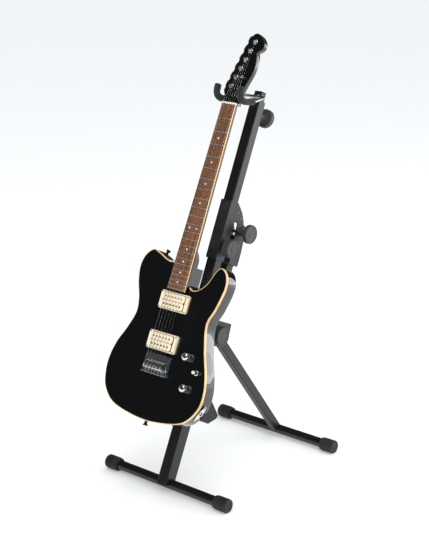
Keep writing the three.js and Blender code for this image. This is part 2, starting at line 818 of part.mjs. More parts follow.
function toggleLever() {
  const profile = [
    [0, 0.9],
    [1.7, 0.9],
    [1.7, 9],
    [3.3, 10.5],
    [3.9, 13.5],
    [3.3, 16],
    [0, 17.2],
  ];
  return turnedUp(profile, TOGGLE.x, TOGGLE.z, 12);
}

// The oval jack plate lies flat against the body's side, low on the treble side.
function jackPlate() {
  const oval = new THREE.Shape();
  oval.absellipse(0, 0, JACK.halfLong, JACK.halfWide, 0, 2 * Math.PI);
  const plate = new THREE.ExtrudeGeometry(oval, { depth: 1.6, bevelEnabled: false, curveSegments: 12 });
  const collar = new THREE.CylinderGeometry(6.2, 6.2, 4, 16).rotateX(Math.PI / 2).translate(0, 0, 2.4);
  return join(plate, collar).rotateY(Math.PI / 2);
}

function strapButton() {
  const profile = [
    [0, 0],
    [7, 0],
    [6.2, 1.4],
    [3.6, 4],
    [3.6, 8],
    [6.6, 10.5],
    [6.6, 12],
    [4.5, 13],
    [0, 13],
  ];
  const points = profile.map(([radius, height]) => new THREE.Vector2(radius, height));
  return new THREE.LatheGeometry(points, 18);
}

function neckPlate() {
  const back = BODY_DEPTH + GAP;
  return box(-NECK_PLATE.half, NECK_PLATE.half, back, back + NECK_PLATE.thick, NECK_PLATE.z0, NECK_PLATE.z1);
}

// How far the row of tuners leans from the neck's line; the key shafts run square to it.
const ROW_TURN = Math.atan2(POSTS.stepX, POSTS.stepZ);

function acrossRow(geometry, x, z) {
  return geometry.rotateY(ROW_TURN).translate(x, 0, z);
}

// Six tuning machines on one backing strip: string post, washer, gear box and key shaft of each.
function tunerSet() {
  const [midX, midZ] = postPlace(2.5);
  const length = Math.hypot(POSTS.stepX, POSTS.stepZ) * 5 + 18;
  const strip = acrossRow(box(-8, 8, -HEAD.back + GAP, 14, -length / 2, length / 2), midX, midZ);
  const machines = STRING_INDEX.flatMap((i) => {
    const [x, z] = postPlace(i);
    return [
      rodY(3, -POST_TOP, 13, x, z, 10),
      rodY(6.2, -HEAD.face - 1.8, -HEAD.face - GAP, x, z, 12),
      acrossRow(box(-9.5, 7, 13, 20, -7, 7), x, z),
      acrossRow(rodX(1.8, -keyReach(i), -8, 16.5, 0, 8), x, z),
    ];
  });
  return join(strip, ...machines);
}

function keyReach(index) {
  return KEY_REACH + index * KEY_REACH_STEP;
}

function tunerKey(index) {
  const [x, z] = postPlace(index);
  const button = new THREE.Shape();
  button.moveTo(-3, -3);
  button.lineTo(3, -3);
  button.bezierCurveTo(10, -8, 10, -17, 6, -17);
  button.lineTo(-6, -17);
  button.bezierCurveTo(-10, -17, -10, -8, -3, -3);
  button.closePath();
  const key = new THREE.ExtrudeGeometry(button, {
    depth: 3,
    bevelThickness: 1.5,
    bevelSize: 1.2,
    bevelOffset: -1.2,
    bevelSegments: 1,
    curveSegments: 4,
  });
  key.translate(0, 0, -1.5).rotateX(-Math.PI / 2).rotateY(-Math.PI / 2);
  return acrossRow(key.translate(3.3 - GAP - 0.5 - keyReach(index), 16.5, 0), x, z);
}

function stringTree() {
  return join(rodY(2.2, -12.6, -HEAD.face - GAP, 17, 719, 12), box(8.5, 22, -13.2, -11.9, 716, 722));
}

function guitarString(index) {
  const saddleX = (index - 2.5) * BRIDGE_SPREAD;
  const nutX = (index - 2.5) * NUT_SPREAD;
  const [postX, postZ] = postPlace(index);
  const side = 3 + STRING_R + GAP;
  const route = new Route([
    [saddleX, -4, -24],
    [saddleX, -9, -22.5],
    [saddleX, -STRING_AT_SADDLE, -19],
    [saddleX, -STRING_AT_SADDLE, 0],
    [nutX, -STRING_AT_NUT, SCALE],
    [nutX, -STRING_AT_NUT, SCALE + 4.6],
    [postX + side, -STRING_AT_POST, postZ + 2],
  ]);
  return swept(route, STRING_R, 6, 6);
}

function addGuitar(root) {
  const guitar = frame(root, GUITAR_ORIGIN, -GUITAR_TILT);
  const add = (name, geometry, material) => guitar.add(mesh(name, geometry, material));
  add("guitar_body", guitarBody(), BLACK_GLOSS);
  add("body_binding", bodyBinding(), IVORY);
  add("guitar_neck", guitarNeck(), BLACK_GLOSS);
  add("fretboard", fretboard(), ROSEWOOD);
  add("string_nut", stringNut(), BONE);
  add("pickup_ring_neck", pickupRing(150.6, 6), CREAM);
  add("pickup_ring_bridge", pickupRing(50.2, 8), CREAM);
  add("neck_pickup", pickup(150.6, 9), CREAM);
  add("bridge_pickup", pickup(50.2, 11.5), CREAM);
  add("bridge_plate", bridgePlate(), CHROME);
  add("bridge_saddles", bridgeSaddles(), CHROME);
  add("volume_knob", controlKnob(86, 32), CHROME);
  add("tone_knob", controlKnob(104, -41), CHROME);
  add("toggle_nut", toggleNut(), CHROME);
  add("toggle_lever", toggleLever(), CREAM);
  add("neck_plate", neckPlate(), CHROME);
  add("tuner_set", tunerSet(), CHROME);
  STRING_INDEX.forEach((i) => add("tuner_key_" + (i + 1), tunerKey(i), CHROME));
  STRING_INDEX.forEach((i) => add("string_" + (i + 1), guitarString(i), STRING_STEEL));
  add("string_tree", stringTree(), CHROME);

  const jack = mesh("jack_plate", jackPlate(), CHROME);
  jack.position.set(JACK.x, JACK.y, JACK.z);
  jack.rotation.y = -JACK.turn;
  guitar.add(jack);

  const tailButton = mesh("strap_button_tail", strapButton(), CHROME);
  tailButton.position.set(0, BODY_DEPTH / 2, -142.9);
  tailButton.rotation.x = -Math.PI / 2;
  guitar.add(tailButton);

  const hornButton = mesh("strap_button_horn", strapButton(), CHROME);
  hornButton.position.set(-84, BODY_DEPTH / 2, 257.6);
  hornButton.quaternion.setFromUnitVectors(new THREE.Vector3(0, 1, 0), new THREE.Vector3(0.35, 0, 0.937));
  guitar.add(hornButton);
  addCradlePads(guitar);
}

// A rubber seat under each lower corner of the body: a wedge behind it and a lip below it,
// with its outer end slanting slightly inwards below a crease.
function cradlePad(side) {
  const wedge = new THREE.Shape();
  wedge.moveTo(BODY_DEPTH + 1, -49);
  wedge.lineTo(BODY_DEPTH + 4, -49);
  wedge.lineTo(87, -82);
  wedge.lineTo(86, -91);
  wedge.lineTo(64, -107);
  wedge.lineTo(33, -101);
  wedge.lineTo(28, -94);
  wedge.lineTo(34, -64);
  wedge.closePath();
  const outer = side < 0 ? PAD.outer[0] : PAD.outer[1];
  const inner = outer - side * PAD.width;
  const pad = sidePlate(wedge, Math.min(outer, inner), Math.max(outer, inner));
  const slant = new THREE.Shape();
  slant.moveTo(outer, 0);
  slant.lineTo(outer + side * PAD.slant, 0);
  slant.lineTo(outer + side * PAD.slant, -PAD.drop);
  slant.lineTo(outer - side * PAD.slant, -PAD.drop);
  slant.closePath();
  const trim = slab(slant, -LONG, LONG).rotateX(PAD_CREASE.rise);
  trim.translate(0, PAD_CREASE.y, PAD_CREASE.z);
  const bore = CRADLE.reach + GAP;
  return cut(
    pad,
    bodySlab(1, -BODY_DEPTH - 0.6, 60),
    trim,
    rodX(CRADLE.rodR + GAP, -bore, bore, ...barInGuitar()),
  );
}

// The cradle bar's axis, in the guitar's frame.
function barInGuitar() {
  const bar = new THREE.Vector3(0, CRADLE.rodY, CRADLE.rodZ);
  bar.applyAxisAngle(new THREE.Vector3(1, 0, 0), -POST_TILT);
  bar.z += FOOT_Z;
  bar.sub(new THREE.Vector3(...GUITAR_ORIGIN));
  bar.applyAxisAngle(new THREE.Vector3(1, 0, 0), GUITAR_TILT);
  return [bar.y, bar.z];
}

function addCradlePads(guitar) {
  guitar.add(mesh("cradle_pad_left", cradlePad(-1), RUBBER));
  guitar.add(mesh("cradle_pad_right", cradlePad(1), RUBBER));
}

// ---------- the whole object, its footprint's middle on the origin ----------

function build() {
  const object = new THREE.Group();
  object.name = "guitar_on_stand";
  const whole = frame(object, [0, 0, 0], 0);
  addFoot(whole, "front", FRONT_SPAN, 0);
  addFoot(whole, "rear", REAR_SPAN, REAR_FOOT_Y);
  addLegs(whole);
  addPost(whole);
  addGuitar(whole);
  object.updateMatrixWorld(true);
  const bounds = new THREE.Box3().setFromObject(whole, true);
  const middle = bounds.getCenter(new THREE.Vector3());
  whole.position.set(-middle.x, -middle.y, -bounds.min.z);
  return object;
}

export default build();
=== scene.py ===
"""A solid-body electric guitar resting on a folding stand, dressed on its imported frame.

Sizes are millimetres in the frame of each sub-assembly; Frame.at turns them into row-frame metres.
"""

import json
import logging
import math
from dataclasses import dataclass
from enum import Enum
from typing import Any

import bmesh
import bpy
import numpy as np
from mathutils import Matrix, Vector


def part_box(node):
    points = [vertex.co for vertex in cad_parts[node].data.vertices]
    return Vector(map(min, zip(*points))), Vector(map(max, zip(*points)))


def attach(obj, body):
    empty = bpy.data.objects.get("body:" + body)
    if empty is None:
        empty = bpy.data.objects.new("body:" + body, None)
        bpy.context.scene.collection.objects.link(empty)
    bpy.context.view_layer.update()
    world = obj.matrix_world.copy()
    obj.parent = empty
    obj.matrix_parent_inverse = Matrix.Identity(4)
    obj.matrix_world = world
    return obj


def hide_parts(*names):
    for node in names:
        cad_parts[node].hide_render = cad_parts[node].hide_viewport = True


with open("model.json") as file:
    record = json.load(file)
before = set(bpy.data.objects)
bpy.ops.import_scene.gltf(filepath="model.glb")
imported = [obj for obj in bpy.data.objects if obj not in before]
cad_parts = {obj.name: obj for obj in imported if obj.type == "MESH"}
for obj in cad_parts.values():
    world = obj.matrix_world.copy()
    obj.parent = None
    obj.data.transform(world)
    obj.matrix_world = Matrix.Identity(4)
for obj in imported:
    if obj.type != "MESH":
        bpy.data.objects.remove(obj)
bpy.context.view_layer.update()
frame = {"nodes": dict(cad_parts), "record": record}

LOG = logging.getLogger("guitar_on_stand")
MM = 0.001
Array = np.ndarray
Triple = tuple[float, float, float]
Axes = tuple[Triple, Triple, Triple]

FOOT_Z = 17.1
FRONT_LINE = (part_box("front_foot_tube")[0].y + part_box("front_foot_tube")[1].y) / 2 / MM


class Facing(Enum):
    """Where a turned or raised part points: each value gives its own x, y and z in its parent's frame."""

    RIGHT = ((0, 1, 0), (0, 0, 1), (1, 0, 0))
    LEFT = ((0, -1, 0), (0, 0, 1), (-1, 0, 0))
    FRONT = ((1, 0, 0), (0, 0, 1), (0, -1, 0))
    BACK = ((1, 0, 0), (0, 0, -1), (0, 1, 0))
    UP = ((1, 0, 0), (0, 1, 0), (0, 0, 1))
    DOWN = ((1, 0, 0), (0, -1, 0), (0, 0, -1))


@dataclass(frozen=True)
class Frame:
    """A place and a direction to build in, measured in millimetres."""

    origin: Triple
    axes: Axes

    @staticmethod
    def leaning(origin: Triple, degrees: float) -> "Frame":
        """Makes a frame turned about X.

        Args:
            origin: the frame's own zero, before the footprint's shift.
            degrees: turn about X.

        Returns:
            The frame in the row frame.
        """
        c, s = math.cos(math.radians(degrees)), math.sin(math.radians(degrees))
        x, y, z = origin
        return Frame((x, y + FRONT_LINE, z), ((1, 0, 0), (0, c, s), (0, -s, c)))

    def at(self, points: Any) -> Array:
        """Turns local millimetres into row-frame metres: coordinates times the axes, plus the origin.

        Args:
            points: an array whose last side holds x, y and z.

        Returns:
            The same array of points in metres.
        """
        return (np.asarray(points, float) @ np.array(self.axes, float) + np.array(self.origin)) * MM

    def within(self, origin: Triple, axes: Axes) -> "Frame":
        """Makes a frame whose origin and axes are given in this one.

        Args:
            origin: the new zero, in this frame.
            axes: the new x, y and z, in this frame.

        Returns:
            The new frame.
        """
        rows = np.array(axes, float) @ np.array(self.axes, float)
        start = np.array(origin, float) @ np.array(self.axes, float) + np.array(self.origin)
        return Frame(tuple(start), tuple(map(tuple, rows)))

    def facing(self, origin: Triple, side: Facing) -> "Frame":
        """A frame at origin that points to one side of this one."""
        return self.within(origin, side.value)

    def along(self, origin: Triple, axis: Triple) -> "Frame":
        """Makes a frame whose z runs along any axis of this one that isn't its y.

        Args:
            origin: the new zero, in this frame.
            axis: the direction of the new z.

        Returns:
            The new frame.
        """
        z = np.array(axis, float) / np.linalg.norm(axis)
        x = np.cross((0.0, 1.0, 0.0), z)
        x /= np.linalg.norm(x)
        return self.within(origin, (tuple(x), tuple(np.cross(z, x)), tuple(z)))


LEG_FRAME = Frame.leaning((0, 0, FOOT_Z), -24.9)
POST_FRAME = Frame.leaning((0, 0, FOOT_Z), -24.16)
GUITAR_FRAME = Frame.leaning((0, -27.64, 346.84), -25.02)


# ---------- surfaces ----------


def round_rect(x0: float, x1: float, y0: float, y1: float, radius: float, side: int = 10) -> Array:
    """A closed rounded rectangle: four quarter circles joined by straight sides.

    Args:
        x0: left edge.
        x1: right edge.
        y0: lower edge.
        y1: upper edge.
        radius: corner radius.
        side: points along each straight side.

    Returns:
        An array of points (n, 2), anticlockwise.
    """
    centres = np.array([[x1 - radius, y0 + radius], [x1 - radius, y1 - radius], [x0 + radius, y1 - radius],
                        [x0 + radius, y0 + radius]])
    start = np.radians([-90.0, 0.0, 90.0, 180.0])
    angle = start[:, None] + np.linspace(0, math.pi / 2, 7)[None, :]
    arcs = centres[:, None, :] + radius * np.stack([np.cos(angle), np.sin(angle)], -1)
    after = np.roll(arcs, -1, axis=0)[:, 0]
    share = np.linspace(0, 1, side + 2)[1:-1, None]
    straight = arcs[:, None, -1] * (1 - share) + after[:, None] * share
    return np.concatenate([arcs, straight], axis=1).reshape(-1, 2)


def spline(points: Any, count: int) -> Array:
    """A smooth curve through points: each stretch is a cubic whose end slopes are half the neighbours' span.

    Args:
        points: the points passed through (n, 2 or 3).
        count: how many evenly spaced points come back.

    Returns:
        An array of points (count, 2 or 3), evenly spaced along the curve.
    """
    p = np.asarray(points, float)
    t = np.linspace(0, len(p) - 1, count * 6)
    i = np.minimum(t.astype(int), len(p) - 2)
    f = (t - i)[:, None]
    before, after = p[np.maximum(i - 1, 0)], p[np.minimum(i + 2, len(p) - 1)]
    slope0, slope1 = (p[i + 1] - before) / 2, (after - p[i]) / 2
    fine = (
        (2 * f**3 - 3 * f**2 + 1) * p[i]
        + (f**3 - 2 * f**2 + f) * slope0
        + (3 * f**2 - 2 * f**3) * p[i + 1]
        + (f**3 - f**2) * slope1
    )
    return evenly(fine, count)


def evenly(points: Array, count: int) -> Array:
    """Spaces points evenly along a line, by its running length.

    Args:
        points: the line (n, k).
        count: how many points come back.

    Returns:
        An array of points (count, k).
    """
    run = np.concatenate([[0], np.cumsum(np.linalg.norm(np.diff(points, axis=0), axis=1))])
    want = np.linspace(0, run[-1], count)
    return np.stack([np.interp(want, run, points[:, k]) for k in range(points.shape[1])], -1)


def bezier(ends: Any, count: int) -> Array:
    """A cubic through four control points (4, 2), as count points without its last one."""
    p = np.asarray(ends, float)
    t = np.linspace(0, 1, count, endpoint=False)[:, None]
    return (1 - t) ** 3 * p[0] + 3 * t * (1 - t) ** 2 * p[1] + 3 * t**2 * (1 - t) * p[2] + t**3 * p[3]


def inset(outline: Array, distance: Any) -> Array:
    """Moves a closed outline inwards, each point square to the line between its neighbours.

    Args:
        outline: closed points (n, 2), anticlockwise.
        distance: how far, one number or one for each point.

    Returns:
        The moved outline.
    """
    along = np.roll(outline, -1, axis=0) - np.roll(outline, 1, axis=0)
    along /= np.linalg.norm(along, axis=1, keepdims=True)
    return outline + np.stack([-along[:, 1], along[:, 0]], -1) * np.reshape(distance, (-1, 1))


def smooth_step(value: Any, low: float, high: float) -> Array:
    """Rises from 0 at low to 1 at high, level at both ends."""
    t = np.clip((np.asarray(value, float) - low) / (high - low), 0, 1)
    return t * t * (3 - 2 * t)


class Shell:
    """The surface of one piece, gathered from closed skins."""

    def __init__(self) -> None:
        """Starts empty."""
        self.points: list[Array] = []
        self.faces: list[list[int]] = []
        self.count = 0

    def loft(self, rings: Array, hollow: bool = False) -> "Shell":
        """Skins a stack of closed rings: neighbours in a ring and between rings share a face.

        Args:
            rings: row-frame points (rings, points, 3).
            hollow: True joins the last ring to the first, False closes both ends.

        Returns:
            This shell.
        """
        rows, columns = rings.shape[:2]
        index = np.arange(rows * columns).reshape(rows, columns) + self.count
        around = np.hstack([index, index[:, :1]])
        if hollow:
            around = np.vstack([around, around[:1]])
        else:
            self.faces += [index[0][::-1].tolist(), index[-1].tolist()]
        corners = [around[:-1, :-1], around[:-1, 1:], around[1:, 1:], around[1:, :-1]]
        self.faces += np.stack(corners, -1).reshape(-1, 4).tolist()
        self.points.append(rings.reshape(-1, 3))
        self.count += rows * columns
        return self

    def turn(self, place: Frame, profile: Any, sides: int = 48, flutes: int = 0, depth: Any = 0.0,
             hollow: bool = False) -> "Shell":
        """Turns a profile about a frame's z: radius and height at each row, the radius dipping by a cosine.

        Args:
            place: the frame it turns in.
            profile: radius and height (n, 2).
            sides: points round the axis.
            flutes: how many dips there are round the rim.
            depth: how deep they are, one number or one for each row.
            hollow: True joins the profile's ends.

        Returns:
            This shell.
        """
        rows = np.asarray(profile, float)
        angle = np.linspace(0, 2 * math.pi, sides, endpoint=False)[None, :]
        dip = np.reshape(depth, (-1, 1)) * (0.5 - 0.5 * np.cos(flutes * angle))
        radius = np.maximum(rows[:, :1] - dip, 0)
        height = np.repeat(rows[:, 1:], sides, axis=1)
        local = np.stack([radius * np.cos(angle), radius * np.sin(angle), height], -1)
        return self.loft(place.at(local), hollow)

    def slab(self, place: Frame, outline: Array, low: float, high: float, edge: float = 0.4) -> "Shell":
        """Raises an outline from low to high with quarter-round edges.

        Args:
            place: the frame whose x and y hold the outline.
            outline: closed points (n, 2), anticlockwise.
            low: lower height.
            high: upper height.
            edge: the radius of both edges.

        Returns:
            This shell.
        """
        angle = np.linspace(0, math.pi / 2, 4)
        step_in = edge * (1 - np.sin(angle))
        height = np.concatenate([low + edge * (1 - np.cos(angle)), high - edge * (1 - np.cos(angle[::-1]))])
        rings = [inset(outline, d) for d in np.concatenate([step_in, step_in[::-1]])]
        local = [np.column_stack([ring, np.full(len(ring), h)]) for ring, h in zip(rings, height)]
        return self.loft(place.at(np.stack(local)))

    def sweep(self, place: Frame, path: Array, radius: Any, sides: int = 16, across: Triple = (1, 1, 1),
              hollow: float = 0.0) -> "Shell":
        """Carries a circle along a path, its plane square to the path.

        Args:
            place: the frame of the path.
            path: points (n, 3).
            radius: one number or one for each point.
            sides: points round the circle.
            across: a direction that the path never runs along.
            hollow: the radius of a bore, or 0 for none.

        Returns:
            This shell.
        """
        along = np.gradient(path, axis=0)
        along /= np.linalg.norm(along, axis=1, keepdims=True)
        side = np.cross(along, np.array(across, float))
        side /= np.linalg.norm(side, axis=1, keepdims=True)
        up = np.cross(side, along)
        angle = np.linspace(0, 2 * math.pi, sides, endpoint=False)[None, :, None]
        spoke = np.cos(angle) * side[:, None] + np.sin(angle) * up[:, None]
        skin = path[:, None] + spoke * np.broadcast_to(np.asarray(radius, float), len(path))[:, None, None]
        if not hollow:
            return self.loft(place.at(skin))
        return self.loft(place.at(np.concatenate([skin, (path[:, None] + spoke * hollow)[::-1]])), True)

    def block(self, place: Frame, size: tuple[float, ...], edge: float = 0.8, corner: float = 1.5) -> "Shell":
        """A block with rounded corners: size gives x0, x1, y0, y1, z0 and z1."""
        x0, x1, y0, y1, z0, z1 = size
        return self.slab(place, round_rect(x0, x1, y0, y1, corner, 1), z0, z1, edge)


@dataclass(frozen=True)
class SquareTube:
    """A square tube with rounded corners, along its frame's z."""

    half: float
    front: float
    rear: float
    bottom: float
    top: float
    wall: float
    corner: float = 3.2
    saddle: float = 0.0

    def add(self, shell: Shell, place: Frame) -> Shell:
        """Adds the tube: an outer skin with eased ends and an inner one, joined at both ends.

        Args:
            shell: where it goes.
            place: the tube's frame.

        Returns:
            The shell.
        """
        outer = round_rect(-self.half, self.half, self.front, self.rear, self.corner)
        inner = inset(outer, self.wall)
        eased = inset(outer, 0.5)
        rows = [
            (inner, self.foot(inner)),
            (eased, self.foot(eased)),
            (outer, self.foot(outer) + 0.5),
            (outer, np.full(len(outer), self.top - 0.5)),
            (eased, np.full(len(outer), self.top)),
            (inner, np.full(len(outer), self.top)),
        ]
        return shell.loft(place.at(np.stack([np.column_stack(row) for row in rows])), True)

    def foot(self, ring: Array) -> Array:
        """The lower end's height at each point: level, or resting over a round bar across it."""
        over = np.sqrt(np.maximum(self.saddle**2 - ring[:, 1] ** 2, 0))
        return np.where(np.abs(ring[:, 1]) < self.saddle, np.maximum(over, self.bottom), self.bottom)


# ---------- shader nodes ----------


class Value:
    """A shader socket that takes part in arithmetic."""

    def __init__(self, graph: "Graph", socket: bpy.types.NodeSocket) -> None:
        """Holds the graph and one of its output sockets."""
        self.graph = graph
        self.socket = socket

    def _maths(self, operation: str, first: Any, second: Any) -> "Value":
        """Adds one Math node and gives its output."""
        return self.graph.node("ShaderNodeMath", {"operation": operation}, {0: first, 1: second})

    def __add__(self, other: Any) -> "Value":
        """Sum."""
        return self._maths("ADD", self, other)

    def __radd__(self, other: Any) -> "Value":
        """Sum, the number first."""
        return self._maths("ADD", other, self)

    def __sub__(self, other: Any) -> "Value":
        """Difference."""
        return self._maths("SUBTRACT", self, other)

    def __rsub__(self, other: Any) -> "Value":
        """Difference, the number first."""
        return self._maths("SUBTRACT", other, self)

    def __mul__(self, other: Any) -> "Value":
        """Product."""
        return self._maths("MULTIPLY", self, other)

    def __rmul__(self, other: Any) -> "Value":
        """Product, the number first."""
        return self._maths("MULTIPLY", other, self)

    def __pow__(self, other: Any) -> "Value":
        """Power."""
        return self._maths("POWER", self, other)


class Graph:
    """The node tree of one material."""

    def __init__(self, name: str) -> None:
        """Starts an empty tree in a new material."""
        self.material = bpy.data.materials.new(name)
        self.material.use_nodes = True
        self.tree = self.material.node_tree
        self.tree.nodes.clear()

    def node(self, kind: str, settings: dict[str, Any], inputs: dict[Any, Any], out: Any = 0) -> Value:
        """Adds one node, sets it up and joins it.

        Args:
            kind: the node's type.
            settings: its properties; "stops" holds a ramp's positions and colours.
            inputs: numbers, colours or values for its sockets.
            out: which output comes back.

        Returns:
            The chosen output.
        """
        made = self.tree.nodes.new(kind)
        for key, setting in settings.items():
            if key == "stops":
                ramp = made.color_ramp.elements
                for place, colour in setting[2:]:
                    ramp.new(place).color = colour
                for element, (place, colour) in zip((ramp[0], ramp[len(ramp) - 1]), setting[:2]):
                    element.position, element.color = place, colour
            else:
                setattr(made, key, setting)
        for key, given in inputs.items():
            if isinstance(given, Value):
                self.tree.links.new(given.socket, made.inputs[key])
            else:
                made.inputs[key].default_value = given
        return Value(self, made.outputs[out])

    def place(self, scale: Triple = (1, 1, 1), lean: float = 0.0) -> Value:
        """Object coordinates, turned about X by lean degrees and then stretched by scale."""
        plain = self.node("ShaderNodeTexCoord", {}, {}, "Object")
        turn = {"Vector": plain, "Rotation": (math.radians(lean), 0, 0)}
        turned = self.node("ShaderNodeMapping", {}, turn)
        return self.node("ShaderNodeMapping", {}, {"Vector": turned, "Scale": scale})

    def noise(self, place: Value, scale: float, detail: float = 3.0, rough: float = 0.5) -> Value:
        """Soft noise from 0 to 1."""
        inputs = {"Vector": place, "Scale": scale, "Detail": detail, "Roughness": rough}
        return self.node("ShaderNodeTexNoise", {}, inputs)

    def cells(self, place: Value, scale: float) -> Value:
        """The distance to the nearest of many scattered points."""
        return self.node("ShaderNodeTexVoronoi", {}, {"Vector": place, "Scale": scale})

    def between(self, factor: Value, low: float, high: float) -> Value:
        """Stretches the span from low to high to 0 to 1, with both ends held."""
        inputs = {"Value": factor, "From Min": low, "From Max": high}
        return self.node("ShaderNodeMapRange", {"interpolation_type": "SMOOTHSTEP"}, inputs)

    def mix(self, factor: Any, first: Any, second: Any) -> Value:
        """A colour between two others."""
        return self.node("ShaderNodeMix", {"data_type": "RGBA"}, {0: factor, 6: first, 7: second}, 2)

    def bump(self, height: Value, depth: float, strength: float = 1.0) -> Value:
        """A normal from a height, depth metres deep."""
        inputs = {"Height": height, "Distance": depth, "Strength": strength}
        return self.node("ShaderNodeBump", {}, inputs)

    def finish(self, inputs: dict[Any, Any]) -> bpy.types.Material:
        """Closes the tree with a surface shader that has these inputs, and gives the material."""
        surface = self.node("ShaderNodeBsdfPrincipled", {}, inputs)
        self.node_output(surface)
        return self.material

    def node_output(self, surface: Value) -> None:
        """Joins a shader to the material's output."""
        output = self.tree.nodes.new("ShaderNodeOutputMaterial")
        self.tree.links.new(surface.socket, output.inputs["Surface"])


def rgb(red: float, green: float, blue: float) -> tuple[float, float, float, float]:
    """A colour with full cover."""
    return (red, green, blue, 1.0)


# ---------- finishes ----------


@dataclass(frozen=True)
class PowderCoat:
    """Satin black powder coat on steel: a fine orange peel with slightly rubbed patches."""

    name: str
    shade: float
    rough: float
    peel: float = 0.00006

    def material(self) -> bpy.types.Material:
        """Builds the material."""
        g = Graph(self.name)
        at = g.place()
        fine, rubbed = g.noise(at, 900, 2), g.between(g.noise(at, 14, 6, 0.7), 0.52, 0.74)
        low = rgb(self.shade * 0.8, self.shade * 0.82, self.shade * 0.88)
        high = rgb(self.shade * 1.5, self.shade * 1.5, self.shade * 1.55)
        return g.finish({
            "Base Color": g.mix(rubbed * 0.7 + fine * 0.3, low, high),
            "Roughness": self.rough + rubbed * 0.08 + fine * 0.06,
            "Normal": g.bump(fine, self.peel, 0.6),
            "IOR": 1.52,
        })


@dataclass(frozen=True)
class Moulded:
    """Moulded plastic: one colour with a fine spark-eroded grain and a faint cloudiness."""

    name: str
    dark: Triple
    light: Triple
    rough: float
    grain: float = 1400.0
    depth: float = 0.00005

    def material(self) -> bpy.types.Material:
        """Builds the material."""
        g = Graph(self.name)
        at = g.place()
        grain, cloud = g.noise(at, self.grain, 2), g.noise(at, 30, 4, 0.6)
        return g.finish({
            "Base Color": g.mix(g.between(cloud, 0.3, 0.7), rgb(*self.dark), rgb(*self.light)),
            "Roughness": self.rough + (cloud - 0.5) * 0.12,
            "Normal": g.bump(grain, self.depth, 0.5),
        })


@dataclass(frozen=True)
class Foam:
    """Closed-cell foam: small pores in a matt charcoal skin."""

    name: str

    def material(self) -> bpy.types.Material:
        """Builds the material."""
        g = Graph(self.name)
        at = g.place()
        pores = g.between(g.cells(at, 900), 0.05, 0.5)
        mottled = g.noise(at, 60, 5, 0.6)
        return g.finish({
            "Base Color": g.mix(
                pores * 0.6 + mottled * 0.4, rgb(0.006, 0.006, 0.007), rgb(0.02, 0.021, 0.022)
            ),
            "Roughness": 0.82 + pores * 0.12,
            "Normal": g.bump(pores + mottled * 2.0, 0.00022, 0.7),
            "Sheen Weight": 0.15,
        })


@dataclass(frozen=True)
class Lacquer:
    """Black gloss lacquer under a clear coat, with a faint film of fine wipe marks."""

    name: str
    film: float = 0.05

    def material(self) -> bpy.types.Material:
        """Builds the material."""
        g = Graph(self.name)
        at = g.place(lean=25.02)
        marks = g.noise(g.place((1, 1, 9), 25.02), 120, 4, 0.6)
        haze = g.between(g.noise(at, 9, 5, 0.6), 0.5, 0.8)
        return g.finish({
            "Base Color": g.mix(haze, rgb(0.0016, 0.0019, 0.002), rgb(0.0032, 0.0035, 0.0038)),
            "Roughness": self.film + haze * 0.05 + g.between(marks, 0.62, 0.8) * 0.04,
            "Normal": g.bump(g.noise(at, 45, 2), 0.00002, 0.3),
            "Coat Weight": 0.9 + haze * 0.1,
            "Coat Roughness": 0.03,
            "Coat IOR": 1.5,
        })


@dataclass(frozen=True)
class Celluloid:
    """Aged cream celluloid: amber clouds under a thin gloss."""

    name: str
    pale: Triple
    amber: Triple

    def material(self) -> bpy.types.Material:
        """Builds the material."""
        g = Graph(self.name)
        at = g.place()
        cloud = g.between(g.noise(at, 22, 5, 0.65), 0.32, 0.72)
        return g.finish({
            "Base Color": g.mix(cloud, rgb(*self.pale), rgb(*self.amber)),
            "Roughness": 0.3 + cloud * 0.08,
            "Normal": g.bump(g.noise(at, 500, 2), 0.00003, 0.3),
            "Coat Weight": 0.4 + cloud * 0.1,
        })


@dataclass(frozen=True)
class Rosewood:
    """Oiled rosewood: brown and plum streaks along the neck with short open pores."""

    name: str

    def material(self) -> bpy.types.Material:
        """Builds the material."""
        g = Graph(self.name)
        streak = g.noise(g.place((1, 1, 0.035), 25.02), 170, 6, 0.62)
        fine = g.noise(g.place((1, 1, 0.03), 25.02), 900, 3, 0.6)
        pores = g.between(g.noise(g.place((1, 1, 0.08), 25.02), 2400, 1), 0.58, 0.7)
        stops = [
            (0.28, rgb(0.07, 0.024, 0.009)),
            (0.75, rgb(0.4, 0.185, 0.08)),
            (0.45, rgb(0.17, 0.066, 0.027)),
            (0.58, rgb(0.27, 0.115, 0.048)),
        ]
        tone = g.node("ShaderNodeValToRGB", {"stops": stops}, {"Fac": streak * 0.75 + fine * 0.25})
        return g.finish({
            "Base Color": g.mix(pores * 0.7, tone, rgb(0.035, 0.014, 0.009)),
            "Roughness": 0.5 + pores * 0.25 + (fine - 0.5) * 0.1,
            "Normal": g.bump(1 - pores + fine * 0.3, 0.0001, 0.5),
            "Specular IOR Level": 0.3,
        })


@dataclass(frozen=True)
class Plated:
    """Plated metal: a bright skin with faint wipe marks and cloudy patches."""

    name: str
    colour: Triple
    rough: float
    marks: float = 0.1

    def material(self) -> bpy.types.Material:
        """Builds the material."""
        g = Graph(self.name)
        at = g.place()
        cloud = g.between(g.noise(at, 60, 5, 0.65), 0.4, 0.75)
        red, green, blue = self.colour
        dull = rgb(red * 0.78, green * 0.78, blue * 0.76)
        return g.finish({
            "Base Color": g.mix(cloud * 0.6, rgb(*self.colour), dull),
            "Metallic": 1.0,
            "Roughness": self.rough + cloud * self.marks,
            "Normal": g.bump(g.noise(at, 800, 2), 0.00001, 0.25),
        })


